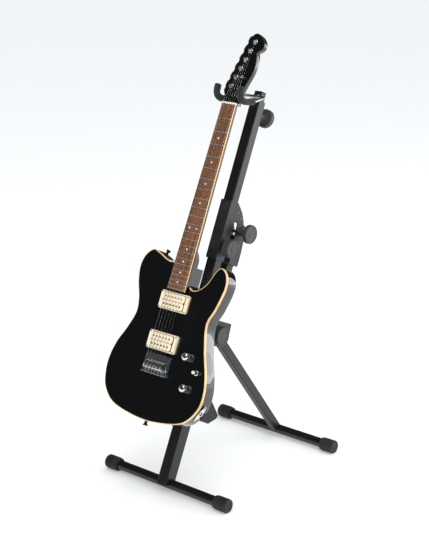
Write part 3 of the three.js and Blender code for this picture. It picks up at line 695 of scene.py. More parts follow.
@dataclass(frozen=True)
class WoundWire:
    """Nickel wire wound round a core: narrow rings along the string."""

    name: str
    pitch: float = 0.0006

    def material(self) -> bpy.types.Material:
        """Builds the material."""
        g = Graph(self.name)
        wave = g.node("ShaderNodeTexWave", {"bands_direction": "Z"},
                      {"Vector": g.place(lean=25.02), "Scale": 0.314 / self.pitch, "Distortion": 0.0})
        return g.finish({
            "Base Color": g.mix(wave, rgb(0.3, 0.28, 0.25), rgb(0.72, 0.7, 0.66)),
            "Metallic": 1.0,
            "Roughness": 0.34 - wave * 0.1,
            "Normal": g.bump(wave, 0.0001, 0.5),
        })


class Finish(Enum):
    """Every finish on the object."""

    STEEL = PowderCoat("satin_black_steel", 0.008, 0.34)
    FOOT = PowderCoat("glossy_black_foot", 0.007, 0.22, 0.00003)
    BRACKET = Moulded("black_bracket_casting", (0.012, 0.012, 0.013), (0.024, 0.024, 0.026), 0.46)
    KNOB = Moulded("grey_knob_plastic", (0.03, 0.031, 0.034), (0.055, 0.056, 0.06), 0.5)
    RUBBER = Moulded("charcoal_rubber", (0.009, 0.009, 0.01), (0.022, 0.022, 0.024), 0.68, 700.0, 0.00012)
    FOAM = Foam("charcoal_foam")
    BODY = Lacquer("black_gloss_lacquer")
    NECK = Lacquer("black_neck_lacquer", 0.1)
    BINDING = Celluloid("aged_cream_binding", (0.86, 0.63, 0.33), (0.72, 0.44, 0.16))
    BOARD_BINDING = Celluloid("neck_binding", (0.88, 0.72, 0.38), (0.78, 0.56, 0.24))
    CREAM = Moulded("cream_pickup_plastic", (0.86, 0.72, 0.5), (0.93, 0.82, 0.62), 0.34, 900.0, 0.00002)
    # Black tape on the pickup coils; the same dark material fills the jack's bore as painted shade.
    TAPE = Moulded("black_coil_tape_and_hole_shade", (0.006, 0.006, 0.006), (0.016, 0.015, 0.014), 0.6)
    INLAY = Celluloid("pearl_dots", (0.9, 0.87, 0.78), (0.75, 0.72, 0.62))
    BONE = Moulded("bone_nut", (0.8, 0.74, 0.6), (0.9, 0.86, 0.75), 0.35)
    ROSEWOOD = Rosewood("oiled_rosewood")
    CHROME = Plated("bright_chrome", (0.8, 0.81, 0.83), 0.07)
    FRET = Plated("nickel_fret_wire", (0.76, 0.74, 0.7), 0.18)
    SCREW = Plated("dark_screw", (0.2, 0.19, 0.18), 0.3)
    BUTTON = Plated("black_nickel", (0.07, 0.07, 0.075), 0.2)
    ZINC = Plated("zinc_bolt", (0.5, 0.51, 0.53), 0.28)
    ROD = Plated("brushed_rod", (0.42, 0.42, 0.43), 0.32)
    STRING = Plated("plain_string_steel", (0.85, 0.83, 0.78), 0.2)
    WOUND = WoundWire("wound_string")

    def material(self) -> bpy.types.Material:
        """The finish's one material, built the first time it is asked for."""
        return bpy.data.materials.get(self.value.name) or self.value.material()


# ---------- pieces ----------


def body_holding(node: str) -> str:
    """The body that carries a CAD node."""
    bodies = frame["record"]["behaviour"]["bodies"]
    return next(name for name, members in bodies.items() if node in members)


def settle(obj: bpy.types.Object, finish: Finish, node: str, stands_for: tuple[str, ...]) -> bpy.types.Object:
    """Gives a piece its finish, its body and the CAD nodes it stands for, and reports it.

    Args:
        obj: the piece.
        finish: its finish.
        node: the CAD node whose body it rides on.
        stands_for: the nodes that it replaces.

    Returns:
        The piece.
    """
    obj.data.materials.clear()
    obj.data.materials.append(finish.material())
    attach(obj, body_holding(node))
    if stands_for:
        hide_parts(*stands_for)
    LOG.info("%s: %d faces on %s", obj.name, len(obj.data.polygons), body_holding(node))
    return obj


def linked(name: str, mesh: bpy.types.Mesh) -> bpy.types.Object:
    """A new object at the origin that holds a mesh."""
    obj = bpy.data.objects.new(name, mesh)
    bpy.context.scene.collection.objects.link(obj)
    return obj


def tidied(mesh: bpy.types.Mesh, merge: float, flat: bool, crease: float) -> None:
    """Merges doubles, turns every face outwards and shades smoothly between creases.

    Args:
        mesh: the mesh.
        merge: how near two vertices are one, in metres.
        flat: True also joins level faces.
        crease: the angle in degrees past which an edge stays sharp.
    """
    work = bmesh.new()
    work.from_mesh(mesh)
    bmesh.ops.remove_doubles(work, verts=work.verts, dist=merge)
    if flat:
        bmesh.ops.dissolve_limit(work, angle_limit=math.radians(1), verts=work.verts, edges=work.edges)
    bmesh.ops.recalc_face_normals(work, faces=work.faces)
    work.to_mesh(mesh)
    work.free()
    mesh.shade_smooth()
    mesh.set_sharp_from_angle(angle=math.radians(crease))


def make(name: str, shell: Shell, finish: Finish, node: str, stands: bool = True, crease: float = 32.0
         ) -> bpy.types.Object:
    """Makes a piece from a shell.

    Args:
        name: the piece's name.
        shell: its surface.
        finish: its finish.
        node: the CAD node it belongs to.
        stands: True if it stands for that node.
        crease: the angle past which an edge stays sharp.

    Returns:
        The piece.
    """
    mesh = bpy.data.meshes.new(name)
    mesh.from_pydata(np.concatenate(shell.points), [], shell.faces)
    tidied(mesh, 1e-6, False, crease)
    return settle(linked(name, mesh), finish, node, (node,) if stands else ())


def soften(node: str, finish: Finish, edge: float) -> bpy.types.Object:
    """Makes a piece from a copy of a CAD node, with its edges rounded by a bevel.

    Args:
        node: the CAD node.
        finish: its finish.
        edge: the bevel's width in millimetres.

    Returns:
        The piece.
    """
    source = frame["nodes"][node].data
    points = np.zeros(len(source.vertices) * 3)
    source.vertices.foreach_get("co", points)
    corners = np.zeros(len(source.polygons) * 3, int)
    source.polygons.foreach_get("vertices", corners)
    mesh = bpy.data.meshes.new(node + "_skin")
    mesh.from_pydata(points.reshape(-1, 3), [], corners.reshape(-1, 3).tolist())
    tidied(mesh, 1e-5, True, 32)
    obj = linked(node + "_skin", mesh)
    bevel = obj.modifiers.new("rounded_edges", "BEVEL")
    bevel.width, bevel.segments = edge * MM, 3
    bevel.limit_method, bevel.angle_limit = "ANGLE", math.radians(32)
    bevel.harden_normals = True
    return settle(obj, finish, node, (node,))


# ---------- stand ----------


@dataclass
class Foot:
    """A round foot tube across the stand with a rubber cap on each end."""

    label: str
    span: float
    y: float
    tube: float = 12.5
    wall: float = 1.5
    cap: float = 17.5
    length: float = 41.0

    def build(self) -> None:
        """Makes the tube and both caps."""
        middle = Frame.leaning((0, self.y, FOOT_Z), 0)
        half = self.span / 2 - 5.3
        bore = self.tube - self.wall
        ring = [(self.tube, -half), (self.tube, half), (bore, half), (bore, -half)]
        tube = Shell().turn(middle.facing((0, 0, 0), Facing.RIGHT), ring, 72, hollow=True)
        make(self.label + "_foot", tube, Finish.FOOT, self.label + "_foot_tube")
        for side, facing in (("left", Facing.LEFT), ("right", Facing.RIGHT)):
            node = f"{self.label}_cap_{side}"
            place = middle.facing((0, 0, 0), facing)
            make(node + "_rubber", self.capped(place), Finish.RUBBER, node)

    def capped(self, place: Frame) -> Shell:
        """Turns a cap: a dished end, a rounded edge, five grip grooves, a stepped collar and its bore.

        Args:
            place: the frame whose z runs out through the cap.

        Returns:
            The cap, level with the floor underneath.
        """
        end, mouth, r = self.span / 2, self.span / 2 - self.length, self.cap
        turn = np.linspace(0, math.pi / 2, 7)
        edge = np.column_stack([r - 3.6 + 3.6 * np.sin(turn), end - 3.6 + 3.6 * np.cos(turn)])
        groove_at = end - 8 - 3.2 * np.arange(5)
        step = np.array([(0.0, 0.9), (-0.55, 0.5), (-0.55, -0.5), (0.0, -0.9)])
        grooves = np.stack([r + np.tile(step[:, 0], 5), np.repeat(groove_at, 4) + np.tile(step[:, 1], 5)], -1)
        rows = np.concatenate([
            [(0, end - 0.8), (9.4, end - 0.8), (10.2, end - 0.3), (11, end)],
            edge,
            grooves,
            [(r, mouth + 7), (r - 0.6, mouth + 6.2), (r - 1.1, mouth + 5.9), (r - 1.1, mouth + 0.8),
             (r - 1.8, mouth), (self.tube + 0.3, mouth), (self.tube + 0.3, end - 5), (0, end - 5)],
        ])
        shell = Shell().turn(place, rows, 72)
        shell.points[0][:, 2] = np.maximum(shell.points[0][:, 2], 0.0)
        return shell


@dataclass
class Knob:
    """A clamp knob: a screw, a tapered hub and a round grip with a dished face."""

    name: str
    finish: Finish
    tip: float
    hub: float
    grip: float
    face: float
    radius: float = 24.0

    def build(self, place: Frame) -> None:
        """Turns the knob about its frame's z: heights run from the screw's tip to the face."""
        r, edge = self.radius, 2.6
        turn = np.linspace(0, math.pi / 2, 6)
        back = np.column_stack([r - edge + edge * np.sin(turn), self.grip + edge - edge * np.cos(turn)])
        front = np.column_stack([r - edge + edge * np.cos(turn), self.face - edge + edge * np.sin(turn)])
        head = [(4, self.tip + 0.6), (4, self.hub), (8.6, self.hub), (9, self.hub + 0.4), (9.4, self.grip - 2),
                (10.6, self.grip - 0.5), (12, self.grip), (18, self.grip)]
        dish = [(r - 3.4, self.face), (r - 4.2, self.face - 0.7), (r - 9, self.face - 0.9), (9, self.face - 0.9),
                (8.2, self.face - 0.3), (4, self.face - 0.15), (0, self.face - 0.1)]
        rows = np.concatenate([[(0, self.tip), (3.4, self.tip)], head, back, front, dish])
        depth = np.where(rows[:, 0] > r - 1.2, 0.45, 0.0)
        shell = Shell().turn(place, rows, 144, 36, depth)
        make(self.name + "_grip", shell, self.finish, self.name)


@dataclass
class CrossBolt:
    """A bolt across the stand with a low domed head and a hex socket on each side."""

    name: str
    reach: float
    shank: float = 4.0
    head: float = 7.0

    def build(self, place: Frame) -> None:
        """Turns the bolt about its frame's z, centred on it."""
        a, h, r = self.reach, self.reach + 4.0, self.head
        half = [(0, h - 2.2), (2.6, h - 2.2), (2.7, h - 0.3), (3.1, h), (r - 2.4, h - 0.3), (r - 0.9, h - 1.2),
                (r, h - 2.6), (r, a), (self.shank, a)]
        rows = np.concatenate([half, [(r0, -z) for r0, z in half[::-1]]])
        make(self.name + "_head", Shell().turn(place, rows, 48), Finish.ZINC, self.name)


@dataclass
class Legs:
    """The folding legs: front leg, bracket, rear leg, inner extension tube and tilt fork."""

    front: SquareTube = SquareTube(15, -22.5, 13.9, -6, 422, 1.5, saddle=12.8)
    extension: SquareTube = SquareTube(12, -20.7, 7.3, 175, 640, 1.8)
    pivot: tuple[float, float] = (36.2, 382.7)
    height_knob: tuple[float, float] = (-4.3, 389)
    tilt: tuple[float, float] = (-12.6, 613.8)
    clamp_rise: float = 37.2
    rear_y: float = 443.5
    rear_half: tuple[float, float] = (10.1, 12.0)

    def build(self) -> None:
        """Makes every piece of the legs."""
        leg = LEG_FRAME
        make("front_leg", self.front.add(Shell(), leg), Finish.STEEL, "front_leg_tube")
        make("extension", self.extension.add(Shell(), leg), Finish.STEEL, "extension_tube")
        soften("leg_bracket", Finish.BRACKET, 1.1)
        soften("tilt_fork", Finish.BRACKET, 0.9)
        CrossBolt("rear_leg_pivot_bolt", 18.5).build(leg.facing((0, *self.pivot), Facing.RIGHT))
        CrossBolt("tilt_pivot_bolt", 19.8).build(leg.facing((0, *self.tilt), Facing.RIGHT))
        knob = Knob("leg_height_knob", Finish.KNOB, 12.3, 18.5, 25, 50)
        knob.build(leg.facing((0, *self.height_knob), Facing.RIGHT))
        y, z = self.tilt
        clamp = Knob("tilt_clamp_knob", Finish.KNOB, -19.2, 19.8, 42, 54)
        clamp.build(leg.facing((0, y, z + self.clamp_rise), Facing.RIGHT))
        self.rear_leg()

    def rear_leg(self) -> None:
        """Makes the rear leg: a square tube with a saddle below and a half-round end at its pivot."""
        y, z = self.pivot
        _, hinge_y, hinge_z = LEG_FRAME.at((0, y, z)) / MM
        away, up = self.rear_y - (hinge_y - FRONT_LINE), hinge_z - FOOT_Z
        reach = math.hypot(away, up)
        place = Frame.leaning((0, self.rear_y, FOOT_Z), math.degrees(math.atan2(away, up)))
        half_x, half_y = self.rear_half
        ring = round_rect(-half_x, half_x, -half_y, half_y, 2.6)
        saddle = np.sqrt(np.maximum(12.7**2 - ring[:, 1] ** 2, 0))
        turn = np.linspace(0, math.pi / 2, 12)
        rows = [np.column_stack([ring, saddle])]
        rows += [np.column_stack([ring * (1, max(math.cos(t), 0.02)),
                                  np.full(len(ring), reach + half_y * math.sin(t))])
                 for t in turn]
        make("rear_leg", Shell().loft(place.at(np.stack(rows))), Finish.STEEL, "rear_leg_tube")


@dataclass
class Post:
    """The tilting sleeve, the post in it and the cradle on its foot."""

    tube: SquareTube = SquareTube(14.5, -66, -38.6, 190, 976, 2)
    bar_y: float = -96
    bar_z: float = 206
    bar_reach: float = 142

    def build(self) -> None:
        """Makes the sleeve, its knob, the post, the cradle bar and both pads."""
        soften("tilt_sleeve", Finish.BRACKET, 0.9)
        knob = Knob("post_clamp_knob", Finish.KNOB, 14.8, 22.3, 29, 48.5)
        knob.build(POST_FRAME.facing((0, -52.3, 602), Facing.RIGHT))
        make("post", self.tube.add(Shell(), POST_FRAME), Finish.STEEL, "post_tube")
        make("cradle", self.cradle(), Finish.STEEL, "cradle_bar")
        for side in ("left", "right"):
            soften("cradle_pad_" + side, Finish.RUBBER, 2.2)

    def cradle(self) -> Shell:
        """A collar on the post, a short arm and the round bar across it, its ends rounded.

        Returns:
            The cradle's surface.
        """
        y, z, reach = self.bar_y, self.bar_z, self.bar_reach
        shell = SquareTube(18.5, -70, -34.6, 192, 224, 3.7, 4).add(Shell(), POST_FRAME)
        shell.block(POST_FRAME, (-12, 12, y, -69.4, z - 11, z + 11), 1.2, 3)
        turn = np.linspace(0, math.pi / 2, 6)
        end = np.column_stack([5 + 2 * np.cos(turn), reach - 2 + 2 * np.sin(turn)])
        rows = np.concatenate([[(0, -reach)], (end * (1, -1))[::-1], end, [(0, reach)]])
        return shell.turn(POST_FRAME.facing((0, y, z), Facing.RIGHT), rows, 40)


@dataclass
class NeckRest:
    """The inner tube that slides in the post, with the yoke and its foam sleeves."""

    tube: SquareTube = SquareTube(11.5, -62.7, -42.1, 700, 997, 1.8, 2.6)
    rod: float = 4.0
    foam: float = 8.4
    arm: tuple[Triple, ...] = (
        (22, -70, 983), (31, -76, 981), (35.5, -92, 973), (36.5, -115, 961),
        (36.5, -145, 952), (36.5, -164, 953), (36.5, -172.5, 961), (36.5, -174.5, 974),
    )

    def build(self) -> None:
        """Makes the tube, its plug, the yoke, both sleeves and the knob."""
        make("neck_rest", self.tube.add(Shell(), POST_FRAME), Finish.STEEL, "neck_rest_tube")
        plug = Shell().block(POST_FRAME, (-11.5, 11.5, -62.7, -42.1, 997.3, 1000), 0.9, 2.6)
        make("neck_rest_cap", plug, Finish.BRACKET, "neck_rest_plug")
        arm = np.array(self.arm)
        left = (arm * (-1, 1, 1))[::-1]
        path = spline(np.vstack([left, [(0, -69, 983)], arm]), 160)
        yoke = Shell().sweep(POST_FRAME, path, self.rod, 20)
        yoke.block(POST_FRAME, (-8, 8, -68, -63, 976, 990), 0.8, 1.5)
        make("yoke", yoke, Finish.ROD, "yoke_rod")
        for name, side in (("left", -1), ("right", 1)):
            node = "yoke_foam_" + name
            make(node + "_sleeve", self.sleeve(side), Finish.FOAM, node, crease=60)
        knob = Knob("neck_rest_knob", Finish.KNOB, -41.8, -38.3, -12.6, 1.4)
        knob.build(POST_FRAME.facing((0, 0, 944), Facing.BACK))

    def sleeve(self, side: int) -> Shell:
        """A foam sleeve over one arm: a swept circle that swells a little and rounds over at both ends.

        Args:
            side: 1 for the right arm and -1 for the left.

        Returns:
            The sleeve's surface.
        """
        bend = np.vstack([np.array(self.arm[3:]), [(36.5, -175, 981)]]) * (side, 1, 1)
        path = spline(bend, 90)
        run = np.concatenate([[0], np.cumsum(np.linalg.norm(np.diff(path, axis=0), axis=1))])
        from_end = np.minimum(run, run[-1] - run)
        over = np.clip(1 - from_end / 4.0, 0, 1)
        swell = 0.25 * np.sin(run / run[-1] * math.pi * 5) * smooth_step(from_end, 0, 12)
        radius = (self.foam + swell) - 4.0 * (1 - np.sqrt(1 - over**2))
        return Shell().sweep(POST_FRAME, path, radius, 40)


# ---------- guitar ----------


def on_top(x: float = 0.0, z: float = 0.0, height: float = 0.0) -> Frame:
    """A frame on the guitar's top: x across, y up the neck and z out of it."""
    return GUITAR_FRAME.facing((x, -height, z), Facing.FRONT)


def half_width(z: Any) -> Any:
    """Half the fretboard's width: it grows evenly from the nut to the body."""
    return 21.5 + (648 - z) / 470 * 6.7


STRING_STEPS = np.arange(6) - 2.5


@dataclass
class Body:
    """The slab body, its edge binding and the fittings on its edge and back."""

    depth: float = 40.0
    edge: float = 3.0
    binding: tuple[float, float] = (2.0, 6.0)
    block_side: float = 27.8
    block_low: float = 204.0
    block_top: float = 243.0
    points: tuple[tuple[float, float], ...] = (
        (-40, 243), (-60, 247), (-93, 260), (-112, 263.5), (-132, 245), (-139.5, 215), (-132, 178),
        (-116, 138), (-111, 103), (-125, 62), (-145.5, 20), (-155.5, -20), (-154, -60), (-138, -99),
        (-96, -129), (-10, -142.3),
        (60, -138), (124, -120), (156, -80), (160.5, -40), (151, 0), (127.5, 60), (112.5, 118), (126, 160),
        (137, 212), (130, 243), (112, 257), (98, 248), (80, 212), (60, 193), (40, 188.5), (28, 198),
    )

    def outline(self) -> Array:
        """The body's edge, anticlockwise from the bass side of the neck, straight across the neck."""
        return spline(self.points, 420)

    def build(self) -> None:
        """Makes the body, its binding, the jack, both strap buttons and the neck plate."""
        edge = self.outline()
        turn = np.linspace(0, math.pi / 2, 8)
        width, deep = self.binding
        inward = np.concatenate([self.edge * (1 - np.sin(turn)), [0, 0, 0, width + 0.05, width + 0.05]])
        height = np.concatenate([-self.depth + self.edge * (1 - np.cos(turn)),
                                 [-self.depth / 2, -deep - 0.3, -deep - 0.05, -deep - 0.05, -0.02]])
        side = np.column_stack([np.full(8, self.block_side), np.linspace(self.block_low, self.block_top, 8)])
        end = np.column_stack([np.linspace(24, -36, 12), np.full(12, self.block_top)])
        loop = np.concatenate([edge, side, end])
        rings = [np.column_stack([inset(loop, d), np.full(len(loop), h)]) for d, h in zip(inward, height)]
        make("body", Shell().loft(on_top().at(np.stack(rings))), Finish.BODY, "guitar_body", crease=24)
        make("binding", self.strip(edge), Finish.BINDING, "body_binding", crease=40)
        self.jack()
        self.strap_button("tail", (0, 20, -142.9), (0, 0, -1))
        self.strap_button("horn", (-84, 20, 257.6), (0.35, 0, 0.937))
        self.neck_plate()

    def strip(self, edge: Array) -> Shell:
        """Carries the binding's section, square with one rounded corner, round the edge from end to end.

        Args:
            edge: the body's outline.

        Returns:
            The binding's surface.
        """
        width, deep = self.binding
        turn = np.linspace(0, math.pi / 2, 6)
        inward = np.concatenate([[width, width, 0], 1.2 * (1 - np.cos(turn)), [width]])
        height = np.concatenate([[0, -deep, -deep], -1.2 * (1 - np.sin(turn)), [0]])
        walls = np.stack([inset(edge, d) for d in inward], axis=1)
        level = np.broadcast_to(height[None, :, None], walls.shape[:2] + (1,))
        return Shell().loft(on_top().at(np.concatenate([walls, level], -1)[2:-2]))

    def jack(self) -> None:
        """Makes the oval socket plate on the treble side: a domed plate, a nut, two screws and painted shade in the
        bore.
        """
        c, s = math.cos(math.radians(27.8)), math.sin(math.radians(27.8))
        place = GUITAR_FRAME.within((152.7, 18.0, -87.6), ((s, 0, c), (0, -1, 0), (c, 0, -s)))
        turn = np.linspace(0, 2 * math.pi, 64, endpoint=False)
        oval = np.column_stack([23.0 * np.cos(turn), 7.5 * np.sin(turn)])
        plate = Shell().slab(place, oval, 0, 1.6, 0.7)
        collar = [(3.4, 1), (6.2, 1), (6.2, 3.2), (5.6, 4.4), (4.4, 4.4), (3.4, 4.0)]
        plate.turn(place, collar, 36, 6, 0.5, True)
        make("jack_socket", plate, Finish.CHROME, "jack_plate")
        self.screws("jack_screws", place, [(-18.0, 0), (18.0, 0)], 1.5, 2.2, Finish.SCREW, "jack_plate")
        # A solid dark disc inside the nut: painted shade that stands in for the dark hole of the socket.
        dark = Shell().turn(place, [(0, 0.6), (3.6, 0.6), (3.6, 2.2), (0, 2.2)], 24)
        make("jack_bore_painted_shade", dark, Finish.TAPE, "jack_plate", False)

    @staticmethod
    def screws(name: str, place: Frame, spots: Any, height: float, radius: float, finish: Finish, node: str
               ) -> None:
        """Makes one piece of low domed screw heads, each with a dished centre.

        Args:
            name: the piece's name.
            place: the frame they stand in.
            spots: the x and y of each.
            height: where their undersides lie.
            radius: the heads' radius.
            finish: their finish.
            node: the CAD node they belong to.
        """
        shell = Shell()
        for x, y in spots:
            rows = [(0, height + radius * 0.25), (radius * 0.3, height + radius * 0.25),
                    (radius * 0.42, height + radius * 0.5), (radius * 0.8, height + radius * 0.36),
                    (radius, height + radius * 0.1), (radius, height - 0.4), (0, height - 0.4)]
            shell.turn(place.within((x, y, 0), Facing.UP.value), rows, 20)
        make(name, shell, finish, node, False)

    @staticmethod
    def strap_button(end: str, origin: Triple, axis: Triple) -> None:
        """Makes a strap button: a flared base, a narrow waist, a rolled lip and a screw head in it."""
        place = GUITAR_FRAME.along(origin, axis)
        turn = np.linspace(-math.pi / 2, math.pi / 2, 8)
        lip = np.column_stack([5.6 + 1.1 * np.cos(turn), 11.4 + 1.4 * np.sin(turn)])
        rows = np.concatenate([[(0, 0), (7, 0), (6.9, 0.6), (5.2, 1.6), (3.8, 3.4), (3.6, 6), (4.2, 8.4)], lip,
                               [(4.2, 12.9), (3.4, 12.2), (2.6, 12.6), (1.2, 12.9), (0, 12.9)]])
        make("strap_pin_" + end, Shell().turn(place, rows, 40), Finish.BUTTON, "strap_button_" + end)

    def neck_plate(self) -> None:
        """Makes the plate behind the neck joint and its four screws."""
        place = GUITAR_FRAME.facing((0, self.depth, 211), Facing.BACK)
        plate = Shell().slab(place, round_rect(-25.5, 25.5, -30, 30, 4), 0.3, 2.3, 0.6)
        make("neck_joint_plate", plate, Finish.CHROME, "neck_plate")
        spots = [(x, y) for x in (-19, 19) for y in (-23.5, 23.5)]
        self.screws("neck_joint_screws", place, spots, 2.3, 4.0, Finish.CHROME, "neck_plate")


@dataclass
class Neck:
    """The neck and headstock, the fretboard with its frets and dots, and the nut."""

    scale: float = 648.0
    board_end: float = 178.0
    top: float = 11.0
    under: float = 5.2
    camber: float = 320.0
    frets: int = 22
    dots: tuple[int, ...] = (3, 5, 7, 9, 15, 17, 19, 21)
    edge_strip: float = 1.1
    strip_low: float = 8.2

    def build(self) -> None:
        """Makes the neck, the board, its edges, the frets, the dots and the nut."""
        shell = self.shaft()
        shell.slab(on_top(), self.head_outline(), -11, 3, 1.6)
        make("neck", shell, Finish.NECK, "guitar_neck", crease=40)
        make("board", self.board(), Finish.ROSEWOOD, "fretboard", crease=30)
        edges = Shell()
        for side in (-1, 1):
            self.edging(edges, side)
        make("board_binding", edges, Finish.BOARD_BINDING, "fretboard", False)
        make("fret_wires", self.fret_wires(), Finish.FRET, "fretboard", False, 50)
        make("position_dots", self.position_dots(), Finish.INLAY, "fretboard", False)
        make("nut", self.nut(), Finish.BONE, "string_nut", crease=50)

    def surface(self, x: Any) -> Any:
        """The board's height across it: highest in the middle, falling by the square of the distance."""
        return self.top - np.asarray(x) ** 2 / (2 * self.camber)

    def fret_line(self, number: Any) -> Any:
        """A fret's distance from the saddles: each is a twelfth of an octave on from the last."""
        return self.scale * 2.0 ** (-np.asarray(number, float) / 12)

    def shaft(self) -> Shell:
        """Skins the neck: its back is a D that deepens and squares off into the heel, and thins into the head.

        Returns:
            The surface.
        """
        z = np.concatenate([[176.6, 177.4], np.linspace(180, 250, 6), np.linspace(255, 290, 14),
                            np.linspace(300, 640, 12), np.linspace(646, 676, 14)])[:, None]
        heel = 1 - smooth_step(z, 256, 284)
        head = smooth_step(z, 650, 668)
        power = 2 + 12 * heel
        half = half_width(np.minimum(z, 648)) * (1 - heel) + 28.0 * heel - 0.4 * (z < 177)
        high = 4.9 - 2.2 * smooth_step(z, 652, 662)
        low = -10.5 - 5.5 * heel - 0.3 * head + 4 * smooth_step(z, 666, 677)
        turn = np.linspace(math.pi, 2 * math.pi, 41)[None, :]
        x = half * np.sign(np.cos(turn)) * np.abs(np.cos(turn)) ** (2 / power)
        y = high + (high - low) * -np.abs(np.sin(turn)) ** (2 / power)
        return Shell().loft(on_top().at(np.stack([x, np.broadcast_to(z, x.shape), y], -1)))

    def head_outline(self) -> Array:
        """The headstock's edge, anticlockwise: cubic curves and straight lines from the nut round the tip."""
        parts = [
            bezier([(21.5, 648), (21.5, 680), (27, 696), (34, 715)], 16),
            bezier([(34, 715), (43, 740), (44, 765), (35, 783.5)], 20),
            bezier([(35, 783.5), (39, 786), (44, 789), (48, 792)], 6),
            bezier([(48, 792), (57, 806), (46, 821), (30, 829)], 22),
            bezier([(30, 829), (16, 836), (9, 829), (2, 815)], 22),
            bezier([(2, 815), (-10, 771), (-22, 727), (-34, 683)], 10),
            bezier([(-34, 683), (-27, 668), (-21.5, 662), (-21.5, 648)], 16),
        ]
        return np.concatenate(parts)

    def lengths(self) -> Array:
        """Where the board's cross-sections lie, from the body end to the nut."""
        middle = np.linspace(200, 640, 12)
        return np.array([self.board_end, self.board_end + 0.5, *middle, self.scale - 0.3])[:, None]

    def board(self) -> Shell:
        """Skins the rosewood: cambered on top, with a ledge along both sides for the edge strips.

        Returns:
            The surface.
        """
        z = self.lengths()
        wide = half_width(z)
        narrow = wide - self.edge_strip - 0.02
        across = narrow * np.linspace(-1, 1, 24)[None, :]
        x = np.concatenate([across, narrow, wide, wide, -wide, -wide, -narrow], 1)
        top = self.surface(x[:, :24]) - 0.5 * (z == self.board_end)
        ledge, under = self.strip_low + 0 * z, self.under + 0 * z
        y = np.concatenate([top, ledge, ledge, under, under, ledge, ledge], 1)
        return Shell().loft(on_top().at(np.stack([x, np.broadcast_to(z, x.shape), y], -1)))

    def edging(self, shell: Shell, side: int) -> None:
        """Adds one edge strip: a narrow bar on the board's ledge, level with the board.

        Args:
            shell: the surface it joins.
            side: -1 for the bass side, 1 for the treble side.
        """
        z = self.lengths()
        outer = side * half_width(z)
        inner = outer - side * self.edge_strip
        x = np.concatenate([outer, inner, inner, outer], 1)
        low = self.strip_low + 0.02 + 0 * z
        y = np.concatenate([self.surface(outer), self.surface(inner), low, low], 1)
        shell.loft(on_top().at(np.stack([x, np.broadcast_to(z, x.shape), y], -1)))

    def fret_wires(self) -> Shell:
        """Each fret is a half-round bead carried across the board, its ends rounded over.

        Returns:
            The surface of all the frets.
        """
        shell = Shell()
        turn = np.linspace(0, math.pi, 7)[None, :]
        for line in self.fret_line(np.arange(1, self.frets + 1)):
            half = float(half_width(line)) - 0.3
            x = np.concatenate([[-half], np.linspace(-half + 0.9, half - 0.9, 12), [half]])[:, None]
            rise = np.concatenate([[0.15], np.ones(12), [0.15]])[:, None]
            place = np.stack([x + 0 * turn, line - 1.1 * np.cos(turn) + 0 * x,
                              self.surface(x) - 0.2 + 1.25 * rise * np.sin(turn)], -1)
            shell.loft(on_top().at(place))
        return shell

    def position_dots(self) -> Shell:
        """Thin discs between the frets, two of them at the octave.

        Returns:
            The surface of all the dots.
        """
        shell = Shell()
        spots = [(0.0, number) for number in self.dots] + [(-11.0, 12), (11.0, 12)]
        for x, number in spots:
            z = float(self.fret_line(number) + self.fret_line(number - 1)) / 2
            height = float(self.surface(x))
            rows = [(0, height + 0.06), (2.5, height + 0.06), (2.6, height - 0.3), (0, height - 0.3)]
            shell.turn(on_top(x, z), rows, 24)
        return shell

    def nut(self) -> Shell:
        """The nut: a small block whose top dips in a notch under each string.

        Returns:
            The surface.
        """
        x = np.linspace(-21.5, 21.5, 260)[:, None]
        notch = np.exp(-(((x - STRING_STEPS[None, :] * 7.1) / 0.55) ** 2)).sum(1, keepdims=True)
        top = 13.0 - 1.2 * notch - 0.4 * (np.abs(x) > 21.2)
        z = np.array([[648, 652.6, 652.6, 652.2, 651, 649, 648.2, 648]])
        drop = np.array([[0, 0, 1.1, 0.4, 0.1, 0, 0.1, 0.5]])
        y = np.where(np.arange(8)[None, :] < 2, self.under, top - drop)
        return Shell().loft(on_top().at(np.stack([x + 0 * z, z + 0 * x, y], -1)))


